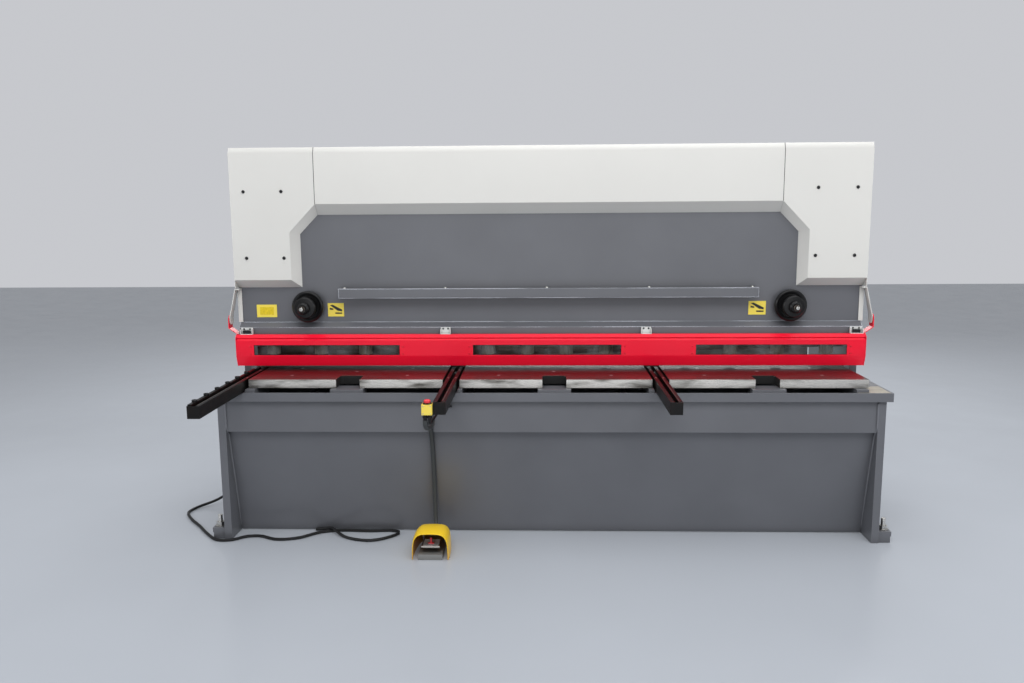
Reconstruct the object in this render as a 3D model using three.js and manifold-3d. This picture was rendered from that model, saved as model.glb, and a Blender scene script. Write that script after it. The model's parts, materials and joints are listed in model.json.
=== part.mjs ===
// A hydraulic guillotine shear for sheet metal, as an assembly of separate solids.
//
// Frame: +X to the operator's right, +Y from the operator towards the back, +Z up, in millimetres.
// Origin: on the floor in the middle of the machine, straight below the cut line.
// The blade beam is at the top of its stroke, the guard hangs closed and the back gauge stands at 300 mm.

import * as THREE from "three";
import { mergeVertices } from "three/addons/utils/BufferGeometryUtils.js";
import Module from "manifold-3d";

const wasm = await Module();
wasm.setup();

// ---------------------------------------------------------------- driving dimensions

const GAP = 0.3; // left between two solids that rest on each other
const SHEET = 3; // folded sheet metal

// Frame and bed
const FRAME_X = 1600; // outer face of each side frame
const SIDE_T = 36; // side frame plate
const INNER_X = FRAME_X - SIDE_T;
const LEG_FRONT_Y = -445;
const COLUMN_Y = -36.7; // front edge of the upper column
const FRAME_REAR_Y = 640;
const FRAME_TOP_Z = 1870;
const BED_X = 1625;
const BED_FRONT_Y = -460;
const BED_REAR_Y = -62.3;
const BED_TOP_Z = 744;
const BED_T = 42;
const APRON_Y = -438;
const APRON_T = 25;
const APRON_BOTTOM_Z = 547;
const PANEL_FOOT = { y: -310, z: 5 }; // lower edge of the sloping front panel
const WEB_T = 62; // plate that carries the lower blade

// Table and blades
const TABLE_Z = 800;
const INSERT_T = 42;
const INSERT_FRONT_Y = -409;
const INSERT_RIGHT_X = 1526;
const NOTCH = { xs: [-966, 34, 1050], width: 115, depth: 100, radius: 20 };
const BLADE = { half: 1540, thick: 20, high: 80 };
const BLADE_RISE = 80; // height gained from the left end of the upper blade to the right
const BLADE_OPEN = 15; // left end of the upper blade above the table

// Front arms, T-slotted on top
const ARM_X = { side: -1493, centre: -464, right: 543 };
const ARM_TIP_Y = { side: -980, centre: -898, right: -898 };
const ARM_W = 55;
const ARM_SLOT_HALF = 40; // half of the gap the table inserts leave for an arm

// Hold-downs
const HOLDDOWN_XS = [100, 305, 510, 715, 945, 1180, 1430]; // and the same on the left
const HOLDDOWN_Y = -62;
const HOLDDOWN_FOOT_Z = 822;

// Upper body
const PLATE_Y = -57; // face of the front plate
const PLATE_T = 20;
const PLATE_EDGE = { top: 1036, low: 962, front: -88 }; // its thicker lower edge
const COVER_Y = -107; // face of the covers
const COVER_X = 1604;
const COVER_REAR_Y = 250;
const COVER_BEVEL = 42; // reach of the bevel along the lower and inner edges
const COVER_MID_BEVEL = 55; // and below the top cover
const COVER_FOLD_Z = 1892;
const COVER_FOLD_DEPTH = 14;
const COVER_TOP_Z = 1925;
const COVER_SEAM_X = 1172;
const COVER_MID_Z = 1643;
const COVER_END_Z = 1260;
const COVER_LEG_X = 1308; // inner edge of the end covers' lower leg
const COVER_STEP_Z = 1502;

// Blade beam and its cylinders
const RAM = { half: 1545, front: 2, rear: 62, shoulder: 1230, top: 1560 };
const CYL = { x: 1400, y: 40, r: 70, bore: 60, bottom: 1275, top: 1725 };
const ROD_R = 35;

// Handwheels that set the guide pads of the blade beam
const WHEEL = { x: 1232, z: 1120, r: 80, boreR: 22 };
const SPINDLE_R = 16;

// Guard
const GUARD = { half: 1608, y: -129, bottom: 815, low: 866, crease: 957, top: 978, rear: -92 };
const WINDOW = { xs: [-1135, 0, 1135], width: 757, low: 873, high: 925 };
const PIVOT = { y: -70, z: 1050, r: 8 };
const FLARE = { x: 1652, low: 980, high: 1010 }; // the guard's end plates bend out to this plane

// Back gauge
const GAUGE = { y: 300, half: 1450, low: 770, high: 850 };
const SCREW = { x: 1050, z: 700, r: 16, journal: 12, front: 66, rear: 780, plate: 20 };
const RAIL = { half: 40, low: 560, high: 640 };

// Foot pedal
const PEDAL = { x: -546, front: -684, rear: -452 };

// ---------------------------------------------------------------- materials

const paint = (color, roughness = 0.5, metalness = 0) =>
  new THREE.MeshStandardMaterial({ color, roughness, metalness });
const GREY = paint(0x5f6267);
const CREAM = paint(0xe4e3dc);
const RED = paint(0xd9142c, 0.35);
const YELLOW = paint(0xf3c318, 0.45);
const BLACK = paint(0x161618, 0.5);
const RUBBER = paint(0x1a1b1c, 0.8);
const MOTOR_BLUE = paint(0x4c5c6c, 0.5);
const BRIGHT = paint(0xc9cbc9, 0.25, 1);
const STEEL = paint(0x8b8c8a, 0.4, 1);
const CHROME = paint(0xe4e6e8, 0.1, 1);
const CLEAR = new THREE.MeshStandardMaterial({
  color: 0xdfe8ea,
  roughness: 0.05,
  transparent: true,
  opacity: 0.3,
});

// ---------------------------------------------------------------- solids

// A closed geometry as a manifold solid.
function solid(geometry) {
  const bare = geometry.index ? geometry.toNonIndexed() : geometry.clone();
  const merged = mergeVertices(
    new THREE.BufferGeometry().setAttribute("position", bare.getAttribute("position")),
    1e-3,
  );
  return new wasm.Manifold(
    new wasm.Mesh({
      numProp: 3,
      vertProperties: merged.attributes.position.array,
      triVerts: new Uint32Array(merged.index.array),
    }),
  );
}

// A manifold solid as a geometry.
function geometryOf(made) {
  const mesh = made.getMesh();
  const geometry = new THREE.BufferGeometry();
  geometry.setAttribute("position", new THREE.BufferAttribute(mesh.vertProperties, 3));
  geometry.setIndex(new THREE.BufferAttribute(mesh.triVerts, 1));
  geometry.computeVertexNormals();
  return geometry;
}

const join = (first, ...rest) => rest.reduce((sum, one) => sum.add(one), first);
const cut = (first, ...rest) => rest.reduce((left, one) => left.subtract(one), first);

// A box from its limits along each axis.
function box([x0, x1], [y0, y1], [z0, z1]) {
  return solid(
    new THREE.BoxGeometry(x1 - x0, y1 - y0, z1 - z0).translate(
      (x0 + x1) / 2,
      (y0 + y1) / 2,
      (z0 + z1) / 2,
    ),
  );
}

const shapeOf = (points) => new THREE.Shape(points.map(([a, b]) => new THREE.Vector2(a, b)));

function extruded(shape, depth, basis, origin) {
  const geometry = new THREE.ExtrudeGeometry(shape, {
    depth,
    bevelEnabled: false,
    curveSegments: 6,
  });
  const matrix = new THREE.Matrix4().makeBasis(...basis).setPosition(...origin);
  return solid(geometry.applyMatrix4(matrix));
}

const X = new THREE.Vector3(1, 0, 0);
const Y = new THREE.Vector3(0, 1, 0);
const Z = new THREE.Vector3(0, 0, 1);

// An outline in (y, z), drawn out from x0 to x1.
const alongX = (points, x0, x1) => extruded(shapeOf(points), x1 - x0, [Y, Z, X], [x0, 0, 0]);
// An outline in (x, z), drawn out from y0 to y1.
const alongY = (points, y0, y1) =>
  extruded(shapeOf(points), y1 - y0, [X, Z, Y.clone().negate()], [0, y1, 0]);
// A shape in (x, y), drawn out from z0 to z1.
const alongZ = (shape, z0, z1) => extruded(shape, z1 - z0, [X, Y, Z], [0, 0, z0]);

// A profile of [radius, height] points turned about an axis: the height runs along it.
function turned(profile, axis, [x, y, z], segments = 24) {
  const geometry = new THREE.LatheGeometry(
    profile.map(([r, h]) => new THREE.Vector2(r, h)),
    segments,
  );
  geometry.applyQuaternion(new THREE.Quaternion().setFromUnitVectors(Y, axis));
  geometry.translate(x, y, z);
  return solid(geometry);
}

// A round bar from one height to another along an axis.
const rod = (r, h0, h1, axis, at, segments = 24) =>
  turned([[0, h0], [r, h0], [r, h1], [0, h1]], axis, at, segments);

// A solid skinned over rings of points, one after the other along +Y, each wound the same way.
function skinned(rings) {
  const positions = [];
  const triangle = (a, b, c) => positions.push(...a.toArray(), ...b.toArray(), ...c.toArray());
  const [front, back] = [rings[0], rings.at(-1)];
  const cap = THREE.ShapeUtils.triangulateShape(
    front.map((p) => new THREE.Vector2(p.x, p.z)),
    [],
  );
  for (const [a, b, c] of cap) {
    triangle(front[a], front[b], front[c]);
    triangle(back[a], back[c], back[b]);
  }
  for (let k = 1; k < rings.length; k += 1) {
    const [near, far] = [rings[k - 1], rings[k]];
    near.forEach((point, i) => {
      const j = (i + 1) % near.length;
      triangle(point, far[j], near[j]);
      triangle(point, far[i], far[j]);
    });
  }
  const geometry = new THREE.BufferGeometry();
  geometry.setAttribute("position", new THREE.Float32BufferAttribute(positions, 3));
  return solid(geometry);
}

// A round cable along a smooth path.
function cable(points, radius, steps) {
  const path = new THREE.CatmullRomCurve3(points.map((p) => new THREE.Vector3(...p)));
  const circle = new THREE.Shape().absarc(0, 0, radius, 0, 2 * Math.PI);
  return new THREE.ExtrudeGeometry(circle, { steps, curveSegments: 4, extrudePath: path });
}

function part(name, geometry, material, at = [0, 0, 0]) {
  const mesh = new THREE.Mesh(
    geometry.isBufferGeometry ? geometry : geometryOf(geometry),
    material,
  );
  mesh.name = name;
  mesh.position.set(...at);
  return mesh;
}

// The same geometry on the right as built, and mirrored on the left.
function pair(name, geometry, material) {
  const right = part(`${name}_right`, geometry, material);
  const left = part(`${name}_left`, right.geometry, material);
  left.scale.x = -1;
  return [left, right];
}

function assembly(...meshes) {
  return new THREE.Group().add(...meshes);
}

// ---------------------------------------------------------------- side frames

function sideFrame() {
  const footEnd = 40;
  const outline = [
    [LEG_FRONT_Y, 0],
    [-200, 0],
    [-180, footEnd],
    [400, footEnd],
    [420, 0],
    [FRAME_REAR_Y, 0],
    [FRAME_REAR_Y, 1260],
    [560, 1560],
    [430, FRAME_TOP_Z],
    [COLUMN_Y, FRAME_TOP_Z],
    [COLUMN_Y, BED_TOP_Z - BED_T - GAP],
    [LEG_FRONT_Y, BED_TOP_Z - BED_T - GAP],
  ];
  const plate = alongX(outline, INNER_X, FRAME_X);
  const lug = (y) => box([FRAME_X - 1, FRAME_X + 62], [y, y + 80], [32, 56]);
  const rib = (y) =>
    alongX([[y, 32], [y + 10, 32], [y + 10, 0.5], [y, 0.5]], FRAME_X - 1, FRAME_X + 58);
  const bracket = box([CYL.x - 100, INNER_X + 1], [-30, 150], [CYL.top + GAP, CYL.top + 32]);
  return join(plate, bracket, lug(-438), rib(-438), lug(FRAME_REAR_Y - 90), rib(FRAME_REAR_Y - 90));
}

// ---------------------------------------------------------------- bed

function bedBox() {
  const x = INNER_X - GAP;
  const top = BED_TOP_Z - BED_T - GAP;
  const backY = APRON_Y + APRON_T;
  const panelT = 12;
  const front = alongX(
    [
      [APRON_Y, top],
      [APRON_Y, APRON_BOTTOM_Z],
      [backY, APRON_BOTTOM_Z],
      [PANEL_FOOT.y, PANEL_FOOT.z],
      [PANEL_FOOT.y + panelT, PANEL_FOOT.z + 3],
      [backY + panelT, APRON_BOTTOM_Z + 3],
      [backY + panelT, APRON_BOTTOM_Z + 13],
      [backY, APRON_BOTTOM_Z + 13],
      [backY, top],
    ],
    -x,
    x,
  );
  const seatZ = TABLE_Z - BLADE.high - GAP;
  const insertZ = TABLE_Z - INSERT_T - GAP;
  const soleT = 20;
  const web = alongX(
    [
      [-130, 0],
      [110, 0],
      [110, soleT],
      [0, soleT],
      [0, seatZ],
      [-BLADE.thick - GAP, seatZ],
      [-BLADE.thick - GAP, insertZ],
      [-WEB_T, insertZ],
      [-WEB_T, soleT],
      [-130, soleT],
    ],
    -x,
    x,
  );
  const ribs = [-1170, -390, 390, 1170].map((ribX) =>
    alongX(
      [
        [backY - 3, 695],
        [backY - 3, 562],
        [backY + 6, APRON_BOTTOM_Z + 2],
        [PANEL_FOOT.y - 5, 55],
        [-WEB_T + 1, 55],
        [-WEB_T + 1, 695],
      ],
      ribX - 10,
      ribX + 10,
    ),
  );
  // Cantilever rails for the back gauge, each with two bearing plates for its lead screw
  const rails = [-SCREW.x, SCREW.x].map((railX) => {
    const width = [railX - RAIL.half, railX + RAIL.half];
    const plate = (y) => box(width, [y, y + SCREW.plate], [RAIL.high - 1, SCREW.z + 35]);
    const bar = join(
      box(width, [-1, SCREW.rear], [RAIL.low, RAIL.high]),
      plate(SCREW.front),
      plate(SCREW.rear - SCREW.plate),
    );
    return cut(bar, rod(SCREW.journal + 1, 0, 900, Y, [railX, 0, SCREW.z]));
  });
  return join(front, web, ...ribs, ...rails);
}

// Spans of the three table inserts between the arms, as [left, right].
const INSERTS = [
  [ARM_X.side + ARM_SLOT_HALF, ARM_X.centre - ARM_SLOT_HALF],
  [ARM_X.centre + ARM_SLOT_HALF, ARM_X.right - ARM_SLOT_HALF],
  [ARM_X.right + ARM_SLOT_HALF, INSERT_RIGHT_X],
];

// Openings in the bed plate below each insert, and the pads beside them that carry its ends.
const SEATS = [
  { left: -1412, right: ARM_X.centre - 34, pads: [[ARM_X.side + 34, -1413]] },
  { left: -408, right: 482, pads: [[ARM_X.centre + 34, -409], [483, ARM_X.right - 34]] },
  { left: ARM_X.right + 60, right: 1457, pads: [[ARM_X.right + 34, ARM_X.right + 59], [1458, 1514]] },
];

// The bed's top plate: open below the inserts, but for the seats of the arms and the pads at the notches.
function bedPlate() {
  const [front, middle, back] = [BED_FRONT_Y + 10, -346, -150];
  const low = BED_TOP_Z - BED_T;
  const plate = box([-BED_X, BED_X], [BED_FRONT_Y, BED_REAR_Y], [low, BED_TOP_Z]);
  const opening = (x, y) => box(x, y, [low - 1, BED_TOP_Z + 1]);
  const pad = (x, y1) => box(x, [front + 4, y1], [BED_TOP_Z - 1, TABLE_Z - INSERT_T - GAP]);
  const made = SEATS.map(({ left, right, pads }, i) => {
    const notch = [NOTCH.xs[i] - 80, NOTCH.xs[i] + 80];
    return {
      openings: [
        opening([left, right], [middle, back]),
        opening([left, notch[0]], [front, middle + 1]),
        opening([notch[1], right], [front, middle + 1]),
      ],
      pads: [pad([notch[0] + 1, notch[1] - 1], middle - 1), ...pads.map((x) => pad(x, middle - 10))],
    };
  });
  return join(cut(plate, ...made.flatMap((m) => m.openings)), ...made.flatMap((m) => m.pads));
}

// A table insert with a hand notch in its front edge.
function tableInsert([left, right], middle) {
  const half = NOTCH.width / 2;
  const back = INSERT_FRONT_Y + NOTCH.depth;
  const rear = -BLADE.thick - GAP;
  const r = NOTCH.radius;
  const shape = new THREE.Shape();
  shape.moveTo(left, INSERT_FRONT_Y);
  shape.lineTo(middle - half, INSERT_FRONT_Y);
  shape.lineTo(middle - half, back - r);
  shape.absarc(middle - half + r, back - r, r, Math.PI, Math.PI / 2, true);
  shape.lineTo(middle + half - r, back);
  shape.absarc(middle + half - r, back - r, r, Math.PI / 2, 0, true);
  shape.lineTo(middle + half, INSERT_FRONT_Y);
  shape.lineTo(right, INSERT_FRONT_Y);
  shape.lineTo(right, rear);
  shape.lineTo(left, rear);
  shape.closePath();
  return alongZ(shape, TABLE_Z - INSERT_T, TABLE_Z);
}

const lowerBlade = () =>
  box([-BLADE.half, BLADE.half], [-BLADE.thick, 0], [TABLE_Z - BLADE.high, TABLE_Z]);

// ---------------------------------------------------------------- front arms

function armBar(side) {
  const x = ARM_X[side];
  const bottom = BED_TOP_Z + GAP;
  const half = ARM_W / 2;
  const mouth = 9;
  const wide = 15;
  const lipZ = TABLE_Z - 14;
  const floorZ = TABLE_Z - 26;
  const outline = [
    [-half, bottom],
    [half, bottom],
    [half, TABLE_Z],
    [mouth, TABLE_Z],
    [mouth, lipZ],
    [wide, lipZ],
    [wide, floorZ],
    [-wide, floorZ],
    [-wide, lipZ],
    [-mouth, lipZ],
    [-mouth, TABLE_Z],
    [-half, TABLE_Z],
  ].map(([dx, z]) => [x + dx, z]);
  return alongY(outline, ARM_TIP_Y[side], BED_REAR_Y - 1);
}

const sideFence = () =>
  box([ARM_X.side - 27, ARM_X.side - 10], [ARM_TIP_Y.side + 8, -140], [TABLE_Z + GAP, TABLE_Z + 5]);

// ---------------------------------------------------------------- emergency stop

// The box on the outer side of the centre arm's tip.
const STOP = { half: 22.5, front: -920, rear: -878, low: 748, high: 793 };
const STOP_AT = [ARM_X.centre - ARM_W / 2 - GAP - STOP.half, (STOP.front + STOP.rear) / 2, 0];

function stopBox() {
  const { half, front, rear, low, high } = STOP;
  const [x, y] = STOP_AT;
  const body = box([x - half, x + half], [front, rear], [low, high]);
  const gland = (dx) => rod(6, low - 30, low + 1, Z, [x + dx, y, 0], 12);
  const well = rod(8, high - 15, high + 1, Z, STOP_AT, 16);
  return cut(join(body, gland(-10), gland(10)), well);
}

function stopButton() {
  const z = STOP.high;
  const stem = [[0, z - 8], [6.5, z - 8], [6.5, z + 6.5]];
  const cap = [[15, z + 6.5], [15, z + 14], [11, z + 18], [0, z + 20]];
  return turned([...stem, ...cap], Z, STOP_AT, 20);
}

// ---------------------------------------------------------------- foot pedal and cables

function pedalBase() {
  const half = 57;
  const x = [PEDAL.x - half, PEDAL.x + half];
  const ear = (dx) => box([PEDAL.x + dx - 4, PEDAL.x + dx + 4], [-530, -500], [24, 62]);
  const slab = box(x, [PEDAL.front, PEDAL.rear], [0.5, 26]);
  const switchBody = box([PEDAL.x - 32, PEDAL.x + 32], [-496, PEDAL.rear - 4], [24, 68]);
  const pin = rod(4, -52, 52, X, [PEDAL.x, -515, 48], 12);
  return join(slab, switchBody, ear(-51), ear(51), pin);
}

function pedalLever() {
  const half = 43;
  const tread = alongX(
    [[-672, 56], [-668, 51], [-500, 41], [-500, 55], [-560, 58], [-668, 62]],
    PEDAL.x - half,
    PEDAL.x + half,
  );
  return cut(tread, rod(5.5, -60, 60, X, [PEDAL.x, -515, 48], 16));
}

// Arches of the hood from its mouth to its back: distance along Y, half width at the floor, height.
const HOOD_ARCHES = [
  [-686, 85, 128],
  [-655, 88, 133],
  [-600, 87, 134],
  [-550, 84, 126],
  [-505, 78, 108],
  [-468, 70, 90],
  [-446, 62, 78],
  [-434, 52, 70],
];

// A solid skinned over the hood's arches, each drawn in by an inset.
function hoodSkin(arches, inset, low) {
  const steps = 14;
  const bend = 0.5; // exponent that squares the arch's shoulders
  const rings = arches.map(([y, half, top]) =>
    Array.from({ length: steps + 1 }, (_, i) => {
      const angle = (Math.PI * i) / steps;
      const across = Math.sign(Math.cos(angle)) * Math.abs(Math.cos(angle)) ** bend;
      const up = Math.sin(angle) ** bend;
      return new THREE.Vector3(PEDAL.x + (half - inset) * across, y, low + (top - inset - low) * up);
    }),
  );
  return skinned(rings);
}

// A one-piece hood, open at the front and below.
function pedalHood() {
  const wall = 4;
  const [first, ...rest] = HOOD_ARCHES;
  const [lastY, ...lastSize] = rest.pop();
  const inside = [[first[0] - 1, first[1], first[2]], ...rest, [lastY - wall, ...lastSize]];
  const shell = cut(hoodSkin(HOOD_ARCHES, 0, 2), hoodSkin(inside, wall, -1));
  return cut(shell, rod(15, -60, 60, Y, [PEDAL.x, PEDAL.rear, 45], 16));
}

// The power cable's path: down from the machine's side and over the floor, to its loose end.
const POWER_CABLE = [
  [-1606, 190, 150],
  [-1680, 160, 132],
  [-1812, 64, 36],
  [-1915, -20, 9],
  [-1930, -90, 8],
  [-1872, -192, 8],
  [-1788, -292, 8],
  [-1700, -405, 8],
  [-1625, -476, 8],
  [-1550, -470, 8],
  [-1500, -428, 8],
  [-1432, -420, 8],
  [-1338, -462, 8],
  [-1234, -442, 8],
  [-1146, -368, 8],
  [-1051, -338, 8],
  [-896, -343, 8],
  [-775, -338, 8],
  [-742, -362, 8],
  [-775, -415, 8],
  [-860, -468, 8],
  [-942, -458, 8],
  [-1014, -418, 9],
  [-1052, -384, 18],
  [-1085, -352, 25],
  [-1122, -331, 14],
  [-1175, -327, 8],
];

// ---------------------------------------------------------------- front plate and hold-downs

// The front plate, stepped forward along its lower edge, where the hold-down cylinders are bolted on.
function frontPlate() {
  const rear = PLATE_Y + PLATE_T;
  const { top, low, front } = PLATE_EDGE;
  const plate = alongX(
    [[rear, low], [rear, 1700], [PLATE_Y, 1700], [PLATE_Y, top], [front, top - 24], [front, low]],
    -FRAME_X,
    FRAME_X,
  );
  const bore = (x) => rod(WHEEL.boreR, -50, 50, Y, [x, PLATE_Y, WHEEL.z]);
  return cut(plate, bore(-WHEEL.x), bore(WHEEL.x));
}

const holddownXs = [...HOLDDOWN_XS.map((x) => -x).reverse(), ...HOLDDOWN_XS];

function holddownCylinders() {
  const top = PLATE_EDGE.low - GAP;
  const rail = box([-1500, 1500], [-86, -38], [940, top]);
  const bosses = holddownXs.map((x) => rod(34, 872, 941, Z, [x, HOLDDOWN_Y, 0], 20));
  const bores = holddownXs.map((x) => rod(22, 860, 952, Z, [x, HOLDDOWN_Y, 0], 16));
  return cut(join(rail, ...bosses), ...bores);
}

function holddownPlunger() {
  const z = HOLDDOWN_FOOT_Z;
  const profile = [[0, z], [25, z], [27, z + 3], [27, z + 24], [20, z + 30], [20, z + 108], [0, z + 108]];
  return geometryOf(turned(profile, Z, [0, 0, 0], 16));
}

// A folded angle that carries the lamp over the cut line.
function ledgeRail() {
  const half = 1067;
  const front = -115;
  const top = 1214;
  const t = 5;
  return alongX(
    [
      [PLATE_Y - GAP, top],
      [front, top],
      [front, top - 50],
      [front + t, top - 50],
      [front + t, top - t],
      [PLATE_Y - GAP, top - t],
    ],
    -half,
    half,
  );
}

// ---------------------------------------------------------------- covers

// The folded front and top of a cover, outside its sheet or inside it.
function coverSection(inset) {
  const rear = COVER_REAR_Y + (inset ? 1 : 0);
  return [
    [PLATE_Y + 30, 1000],
    [COVER_Y + inset, 1000],
    [COVER_Y + inset, COVER_FOLD_Z - inset * 0.6],
    [COVER_Y + COVER_FOLD_DEPTH + inset * 0.4, COVER_TOP_Z - inset],
    [rear, COVER_TOP_Z - inset],
    [rear, 1000],
  ];
}

// The body that flares out from the cover's face to the front plate, along the inner and lower edges.
function flared(points, inset) {
  const grown = points.map(({ at: [x, z], out: [ox, oz] }) => ({
    face: [x + ox * inset * -0.42, z + oz * inset * -0.42],
    foot: [x + ox * (COVER_BEVEL - inset * 1.42), z + oz * (COVER_BEVEL - inset * 1.42)],
  }));
  const ring = (key, y) => grown.map((p) => new THREE.Vector3(p[key][0], y, p[key][1]));
  if (!inset) return skinned([ring("face", COVER_Y), ring("foot", PLATE_Y - GAP)]);
  return skinned([
    ring("face", COVER_Y + inset - 8),
    ring("face", COVER_Y + inset),
    ring("foot", PLATE_Y - GAP),
    ring("foot", PLATE_Y - GAP + 10),
  ]);
}

// Outline of the right end cover's face, with the way each corner flares.
const END_FACE = [
  { at: [COVER_LEG_X, COVER_END_Z], out: [-1, -1] },
  { at: [COVER_X, COVER_END_Z], out: [0, -1] },
  { at: [COVER_X, COVER_FOLD_Z], out: [0, 0] },
  { at: [COVER_SEAM_X, COVER_FOLD_Z], out: [0, 0] },
  { at: [COVER_SEAM_X, COVER_MID_Z], out: [0, -COVER_MID_BEVEL / COVER_BEVEL] },
  { at: [COVER_LEG_X, COVER_STEP_Z], out: [-1, -0.25] },
];

function endCover() {
  const x = [COVER_SEAM_X + GAP, COVER_X];
  const upper = [
    [x[0], COVER_MID_Z],
    [x[0], COVER_TOP_Z + 1],
    [x[1], COVER_TOP_Z + 1],
    [x[1], COVER_END_Z - COVER_BEVEL],
    [COVER_X - SHEET, COVER_END_Z - COVER_BEVEL],
    [COVER_X - SHEET, COVER_MID_Z],
  ];
  const outer = alongX(coverSection(0), x[0], x[1]);
  const inner = alongX(coverSection(SHEET), x[0] - 1, x[1] - SHEET);
  const folded = cut(outer, inner).intersect(alongY(upper, COVER_Y - 1, COVER_REAR_Y + 1));
  const bevels = cut(flared(END_FACE, 0), flared(END_FACE, SHEET));
  const keepInside = box([0, COVER_X], [COVER_Y, PLATE_Y - GAP], [1000, COVER_FOLD_Z - 2]);
  const face = alongY(
    END_FACE.map(({ at }) => at),
    COVER_Y,
    COVER_Y + SHEET,
  );
  const openSide = box([COVER_SEAM_X - 1, COVER_SEAM_X + GAP], [COVER_Y - 1, 0], [1000, 2000]);
  const backOfPlate = box([0, FRAME_X], [PLATE_Y - GAP, COVER_REAR_Y + 2], [1000, FRAME_TOP_Z + GAP]);
  return cut(join(folded, face, bevels.intersect(keepInside)), openSide, backOfPlate);
}

function topCover() {
  const foot = COVER_MID_Z - COVER_MID_BEVEL;
  const t = SHEET;
  const outline = [
    [PLATE_Y - GAP, foot],
    [COVER_Y, COVER_MID_Z],
    [COVER_Y, COVER_FOLD_Z],
    [COVER_Y + COVER_FOLD_DEPTH, COVER_TOP_Z],
    [COVER_REAR_Y, COVER_TOP_Z],
    [COVER_REAR_Y, COVER_TOP_Z - 32],
    [COVER_REAR_Y - t, COVER_TOP_Z - 32],
    [COVER_REAR_Y - t, COVER_TOP_Z - t],
    [COVER_Y + COVER_FOLD_DEPTH + 1.5, COVER_TOP_Z - t],
    [COVER_Y + t, COVER_FOLD_Z - 1.5],
    [COVER_Y + t, COVER_MID_Z + 2],
    [PLATE_Y - GAP, foot + 4],
  ];
  return alongX(outline, -COVER_SEAM_X, COVER_SEAM_X);
}

// ---------------------------------------------------------------- blade beam

const bladeFoot = (x) => TABLE_Z + BLADE_OPEN + ((x + BLADE.half) / (2 * BLADE.half)) * BLADE_RISE;

function bladeBeam() {
  const { half, front, rear, shoulder, top } = RAM;
  const above = 3;
  const beam = alongY(
    [
      [-half, bladeFoot(-half) + above],
      [half, bladeFoot(half) + above],
      [half, shoulder],
      [1150, shoulder],
      [1060, top],
      [-1060, top],
      [-1150, shoulder],
      [-half, shoulder],
    ],
    front,
    rear,
  );
  const seat = alongY(
    [-1, 1].map((s) => [s * (half + 1), bladeFoot(s * (half + 1)) - 5]).concat(
      [1, -1].map((s) => [s * (half + 1), bladeFoot(s * (half + 1)) + BLADE.high + 4]),
    ),
    front - 1,
    BLADE.thick + 2 * GAP,
  );
  const lug = (x) => box([x - 60, x + 60], [front, 90], [shoulder - 50, shoulder]);
  const flange = (z) => box([-1040, 1040], [rear - 1, rear + 44], [z, z + 20]);
  return join(cut(beam, seat), lug(-CYL.x), lug(CYL.x), flange(1040), flange(top - 30));
}

function upperBlade() {
  const left = bladeFoot(-BLADE.half);
  const right = bladeFoot(BLADE.half);
  return alongY(
    [
      [-BLADE.half, left],
      [BLADE.half, right],
      [BLADE.half, right + BLADE.high],
      [-BLADE.half, left + BLADE.high],
    ],
    GAP,
    BLADE.thick + GAP,
  );
}

function mainCylinder() {
  const { r, bore, bottom, top } = CYL;
  const neck = ROD_R + 2;
  const profile = [
    [0, top - 20],
    [bore, top - 20],
    [bore, bottom + 20],
    [neck, bottom + 20],
    [neck, bottom],
    [r, bottom],
    [r, bottom + 26],
    [r - 4, bottom + 28],
    [r - 4, top - 28],
    [r, top - 26],
    [r, top],
    [0, top],
  ];
  return turned(profile, Z, [CYL.x, CYL.y, 0], 28);
}

function pistonRod() {
  const foot = RAM.shoulder + GAP;
  const piston = CYL.bore - 2;
  const profile = [
    [0, foot],
    [50, foot],
    [50, foot + 14],
    [ROD_R, foot + 18],
    [ROD_R, 1640],
    [piston, 1640],
    [piston, 1690],
    [0, 1690],
  ];
  return turned(profile, Z, [CYL.x, CYL.y, 0], 28);
}

// ---------------------------------------------------------------- handwheels

// A dished wheel with a smaller lock wheel in front of it, on one hub. Heights run towards the operator.
function handwheel() {
  const bore = SPINDLE_R + 1;
  const profile = [
    [bore, 8],
    [bore, 142],
    [22, 142],
    [30, 134],
    [30, 110],
    [50, 108],
    [55, 103],
    [55, 88],
    [51, 82],
    [40, 78],
    [40, 46],
    [60, 46],
    [64, 52],
    [74, 54],
    [WHEEL.r, 48],
    [WHEEL.r, 30],
    [74, 24],
    [64, 26],
    [60, 34],
    [36, 26],
    [36, 8],
    [bore, 8],
  ].reverse();
  return turned(profile, Y.clone().negate(), [0, 0, 0], 32);
}

function spindle() {
  const nose = 165;
  const profile = [
    [0, -57.5],
    [SPINDLE_R, -57.5],
    [SPINDLE_R, nose - 12],
    [11, nose - 11],
    [9, nose],
    [0, nose],
  ];
  return turned(profile, Y.clone().negate(), [0, 0, 0], 24);
}

// ---------------------------------------------------------------- guard

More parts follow.
